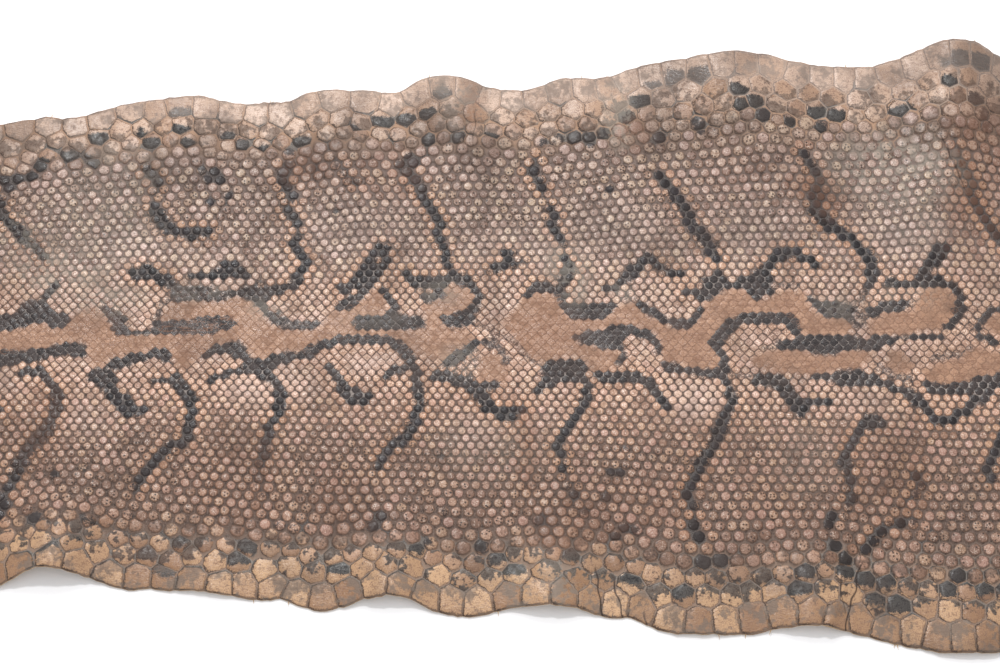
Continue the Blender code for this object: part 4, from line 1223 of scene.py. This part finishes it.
    # Streaks along the spine, smudges on the rims, the weathering of the hide and reddish-brown places,
    # and painted light: shade over the flanks, on the slopes of the folds and in the creases, and sheen
    # on the upper rim, in glossy places and as a grey veil
    long_streaks = grain(1.5, 2, stretch=(0.16, 1, 1))
    short_streaks = grain(0.7, 2, stretch=(0.6, 1, 1))
    streaks = sum_up("ADD", long_streaks, both(short_streaks, 0.9))
    streaks = both(ramp(streaks, -0.02, 0.50), both(pale, near_spine))
    colour = blend(both(streaks, 0.75), colour, srgb(SPINE_STREAK))
    wrinkles = grain(0.9, 3, 0.65, stretch=(0.4, 1, 1))
    colour = blend(both(both(on_rim, ramp(wrinkles, 0.0, 0.5)), 0.55), colour, srgb(CLOUD_BROWN))
    smudged = both(on_rim, ramp(sum_up("ADD", clouds, both(patchy, 0.6)), -0.02, 0.40))
    colour = blend(both(smudged, 0.5), colour, srgb(RIM_SMUDGE))
    # Painted shade: the flanks darker than the spine and the rims, the lower flank a little more, as the
    # light from behind the upper edge falls off
    painted_flank_shade = both(ramp(outward, 0.22, 0.45), ramp(outward, 0.88, 0.74))
    painted_flank_shade = both(painted_flank_shade, sum_up("MULTIPLY_ADD", above, -0.07, 0.3))
    colour = blend(painted_flank_shade, colour, srgb(SKIN_SHADE))
    # Painted sheen: the upper rim lighter and pinker
    colour = blend(both(both(ramp(outward, 0.86, 1.0), above), 0.22), colour, srgb(UPPER_RIM_SHEEN))
    weathering = grain(34, 2)
    colour = blend(both(ramp(weathering, 0.0, 0.45), 0.28), colour, srgb(SKIN_SHADE))
    upper_edge = both(both(ramp(outward, 0.55, 0.75), above), ramp(weathering, -0.6, 0.3))
    colour = blend(both(upper_edge, 0.28), colour, srgb(SKIN_SHADE))
    # Reddish brown over the listed places: partly the hide's own colour, partly painted shade on the
    # slopes of the folds
    ruddy_and_shade = blend(plate, srgb(RUDDY_SHADE_SKIN), srgb(RUDDY_SHADE_SCALE))
    colour = blend(both(value_of("ruddy_and_shade"), 0.55), colour, ruddy_and_shade)
    # Painted sheen: the scales in the glossy places lightened towards pink
    glossy_sheen = both(value_of("glossy_sheen"), sum_up("SUBTRACT", plate, stain))
    colour = blend(both(glossy_sheen, 0.25), colour, srgb(SHEEN_PINK))
    # Painted sheen: a greyish-white veil of reflected light over the listed places
    grey_sheen_veil = both(value_of("grey_sheen"), ramp(sum_up("ADD", patchy, clouds), -0.35, 0.3))
    colour = blend(both(grey_sheen_veil, 0.68), colour, srgb(SHEEN_GREY))
    # Painted shade: a dark line along each crease
    for x, drift, low, high, half_width, strength in CREASE_SHADES:
        crease_shade = both(crease_shade_line(x, drift, low, high, half_width), strength)
        colour = blend(crease_shade, colour, srgb(SPECK_AND_SHADOW_BROWN))
    tree.links.new(colour, shader.inputs["Base Color"])

    # Glaze on the scales, worn off in places, and none between them
    glaze = both(plate, ramp(sum_up("ADD", clouds, patchy), 0.6, -0.4))
    glaze = sum_up("MULTIPLY_ADD", value_of("glossy_sheen"), both(plate, 0.6), glaze)
    glaze = sum_up("ADD", glaze, both(fine, 0.4))
    roughness = add(tree, "MapRange", {"Value": glaze, "To Min": MATT, "To Max": GLAZED})
    tree.links.new(roughness, shader.inputs["Roughness"])
    shader.inputs["Specular IOR Level"].default_value = 0.30

    # Fine wrinkles along the body, with the plates a little above the skin
    relief = sum_up("ADD", both(wrinkles, 0.35), both(plate, 0.35))
    bump = add(tree, "Bump", {"Height": relief, "Strength": 0.7, "Distance": 0.35 * MM})
    tree.links.new(bump, shader.inputs["Normal"])
    return leather


def flesh_material():
    """Flesh side of the same leather, shaved by hand: a matt, fibrous nap with no pigment."""
    leather = bpy.data.materials.new("vegetable_tanned_python_leather_flesh_side")
    leather.use_nodes = True
    tree = leather.node_tree
    shader = tree.nodes["Principled BSDF"]
    place = add(tree, "TexCoord", {}).node.outputs["Object"]
    nap = add(tree, "TexNoise", {"Vector": place, "Scale": 1 / (1.5 * MM), "Detail": 4})
    share = add(tree, "MapRange", {"Value": nap, "From Min": 0.35, "From Max": 0.65})
    shades = add(tree, "Mix", {0: share, 6: srgb(FLESH_SHADE), 7: srgb(FLESH_TAN)}, data_type="RGBA")
    tree.links.new(shades.node.outputs[2], shader.inputs["Base Color"])
    tree.links.new(add(tree, "Bump", {"Height": nap, "Distance": 0.3 * MM}), shader.inputs["Normal"])
    shader.inputs["Roughness"].default_value = 0.9
    shader.inputs["Specular IOR Level"].default_value = 0.2
    return leather


# Pieces

def python_skin():
    """The hide: a flat net of scales, cut to its outline, thickened, shaped, folded and dressed."""
    centres, distances = scale_centres()
    net = cell_net(centres)
    cut_ends(net)
    roughen_rim(net)
    net.verts.layers.float.new("ring_share")
    net.verts.layers.int.new("home")
    net.loops.layers.uv.new("scale_place")
    upper = thicken(net)
    tops = np.array([form.height(x, y) + HIDE_THICKNESS for x, y in centres])
    in_pale = marked(as_drawn(centres[:, 0], centres[:, 1], tops), pale_marks(), MARK_BLUR, closed=True)
    raise_scales(net, upper, centres, distances, PALE_SMOOTHNESS * in_pale)
    number_corners(net, centres)
    bmesh.ops.recalc_face_normals(net, faces=net.faces[:])
    home = net.verts.layers.int["home"]
    folds = fold_height(as_drawn(*np.array([v.co for v in net.verts]).T))
    scale_side = {v for f in net.faces if f.normal.z > 0.3 for v in f.verts}
    for v, rise in zip(net.verts, folds):
        if v in scale_side:
            v.co.z += rise
    for f in net.faces:
        f.smooth = True
        f.material_index = 0 if any(v[home] >= 0 for v in f.verts) else 1
    mesh = bpy.data.meshes.new("python_skin_scales")
    net.to_mesh(mesh)
    net.free()
    write_looks(mesh, centres, distances)
    mesh.materials.append(hide_material())
    mesh.materials.append(flesh_material())
    skin = bpy.data.objects.new("python_skin_scales", mesh)
    bpy.context.scene.collection.objects.link(skin)
    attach(skin, "root")
    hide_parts("python_skin")
    return skin


def edge_fibres(leather):
    """Stiff ends of hide fibre that stand out from the cut edges, each a thin cone."""
    net = bmesh.new()
    for x, side, length in EDGE_FIBRES:
        y = form.edge(x * MM, side) - side * 0.8 * MM
        z = form.height(x * MM, y) + HIDE_THICKNESS / 2
        fibre = bmesh.ops.create_cone(net, segments=6, radius1=FIBRE_ROOT, radius2=FIBRE_TIP,
                                      depth=length * MM, cap_ends=True)["verts"]
        bmesh.ops.translate(net, verts=fibre, vec=(0, 0, length / 2 * MM))
        points_to = Vector((rng.uniform(-0.5, 0.5), side, rng.uniform(0.0, 0.3)))
        turn = points_to.to_track_quat("Z", "Y").to_matrix()
        bmesh.ops.rotate(net, verts=fibre, cent=(0, 0, 0), matrix=turn)
        bmesh.ops.translate(net, verts=fibre, vec=(x * MM, y, z))
    mesh = bpy.data.meshes.new("python_skin_fibres")
    net.to_mesh(mesh)
    net.free()
    mesh.materials.append(leather)
    fibres = bpy.data.objects.new("python_skin_fibres", mesh)
    bpy.context.scene.collection.objects.link(fibres)
    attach(fibres, "root")


# The studio

def camera():
    """The photograph's view, from the lower side of the hide."""
    data = bpy.data.cameras.new("camera")
    data.lens = SENSOR_WIDTH * CAMERA_DISTANCE / PHOTO_WIDTH_AT_SPINE
    data.clip_start = 0.05
    eye = bpy.data.objects.new("camera", data)
    back = CAMERA_DISTANCE * cos(CAMERA_ELEVATION)
    up = CAMERA_DISTANCE * sin(CAMERA_ELEVATION)
    eye.location = (0, LOOK_AT_Y - back, up)
    eye.rotation_euler = (pi / 2 - CAMERA_ELEVATION, 0, 0)
    bpy.context.scene.collection.objects.link(eye)
    bpy.context.scene.camera = eye


def soft_light(name, place, size, watts):
    """A lamp that shines on the middle of the hide."""
    data = bpy.data.lights.new(name, "AREA")
    data.shape = "RECTANGLE"
    data.size, data.size_y = size
    data.energy = watts
    lamp = bpy.data.objects.new(name, data)
    lamp.location = place
    lamp.rotation_euler = (-Vector(place)).to_track_quat("-Z", "Y").to_euler()
    bpy.context.scene.collection.objects.link(lamp)


def studio():
    """A pale floor under even light from the upper side, with a small lamp for the glints."""
    net = bmesh.new()
    bmesh.ops.create_grid(net, x_segments=1, y_segments=1, size=3)
    mesh = bpy.data.meshes.new("floor")
    net.to_mesh(mesh)
    net.free()
    floor = bpy.data.objects.new("floor", mesh)
    bpy.context.scene.collection.objects.link(floor)
    paper = bpy.data.materials.new("white_paper")
    paper.use_nodes = True
    shader = paper.node_tree.nodes["Principled BSDF"]
    shader.inputs["Base Color"].default_value = srgb(FLOOR_WHITE)
    shader.inputs["Roughness"].default_value = 0.9
    shader.inputs["Specular IOR Level"].default_value = 0.1
    mesh.materials.append(paper)
    soft_light("window", place=(-0.15, 1.15, 1.05), size=(0.9, 0.5), watts=11)
    soft_light("overhead", place=(0.2, 0.1, 1.7), size=(1.2, 1.2), watts=4)
    soft_light("lamp", place=(-0.25, 0.8, 1.5), size=(0.12, 0.12), watts=12)
    world = bpy.data.worlds.new("studio")
    world.use_nodes = True
    background = world.node_tree.nodes["Background"]
    background.inputs["Color"].default_value = (1, 1, 1, 1)
    background.inputs["Strength"].default_value = 0.7
    bpy.context.scene.world = world
    bpy.context.scene.view_settings.view_transform = "Standard"


camera()
studio()
skin = python_skin()
edge_fibres(skin.data.materials[1])
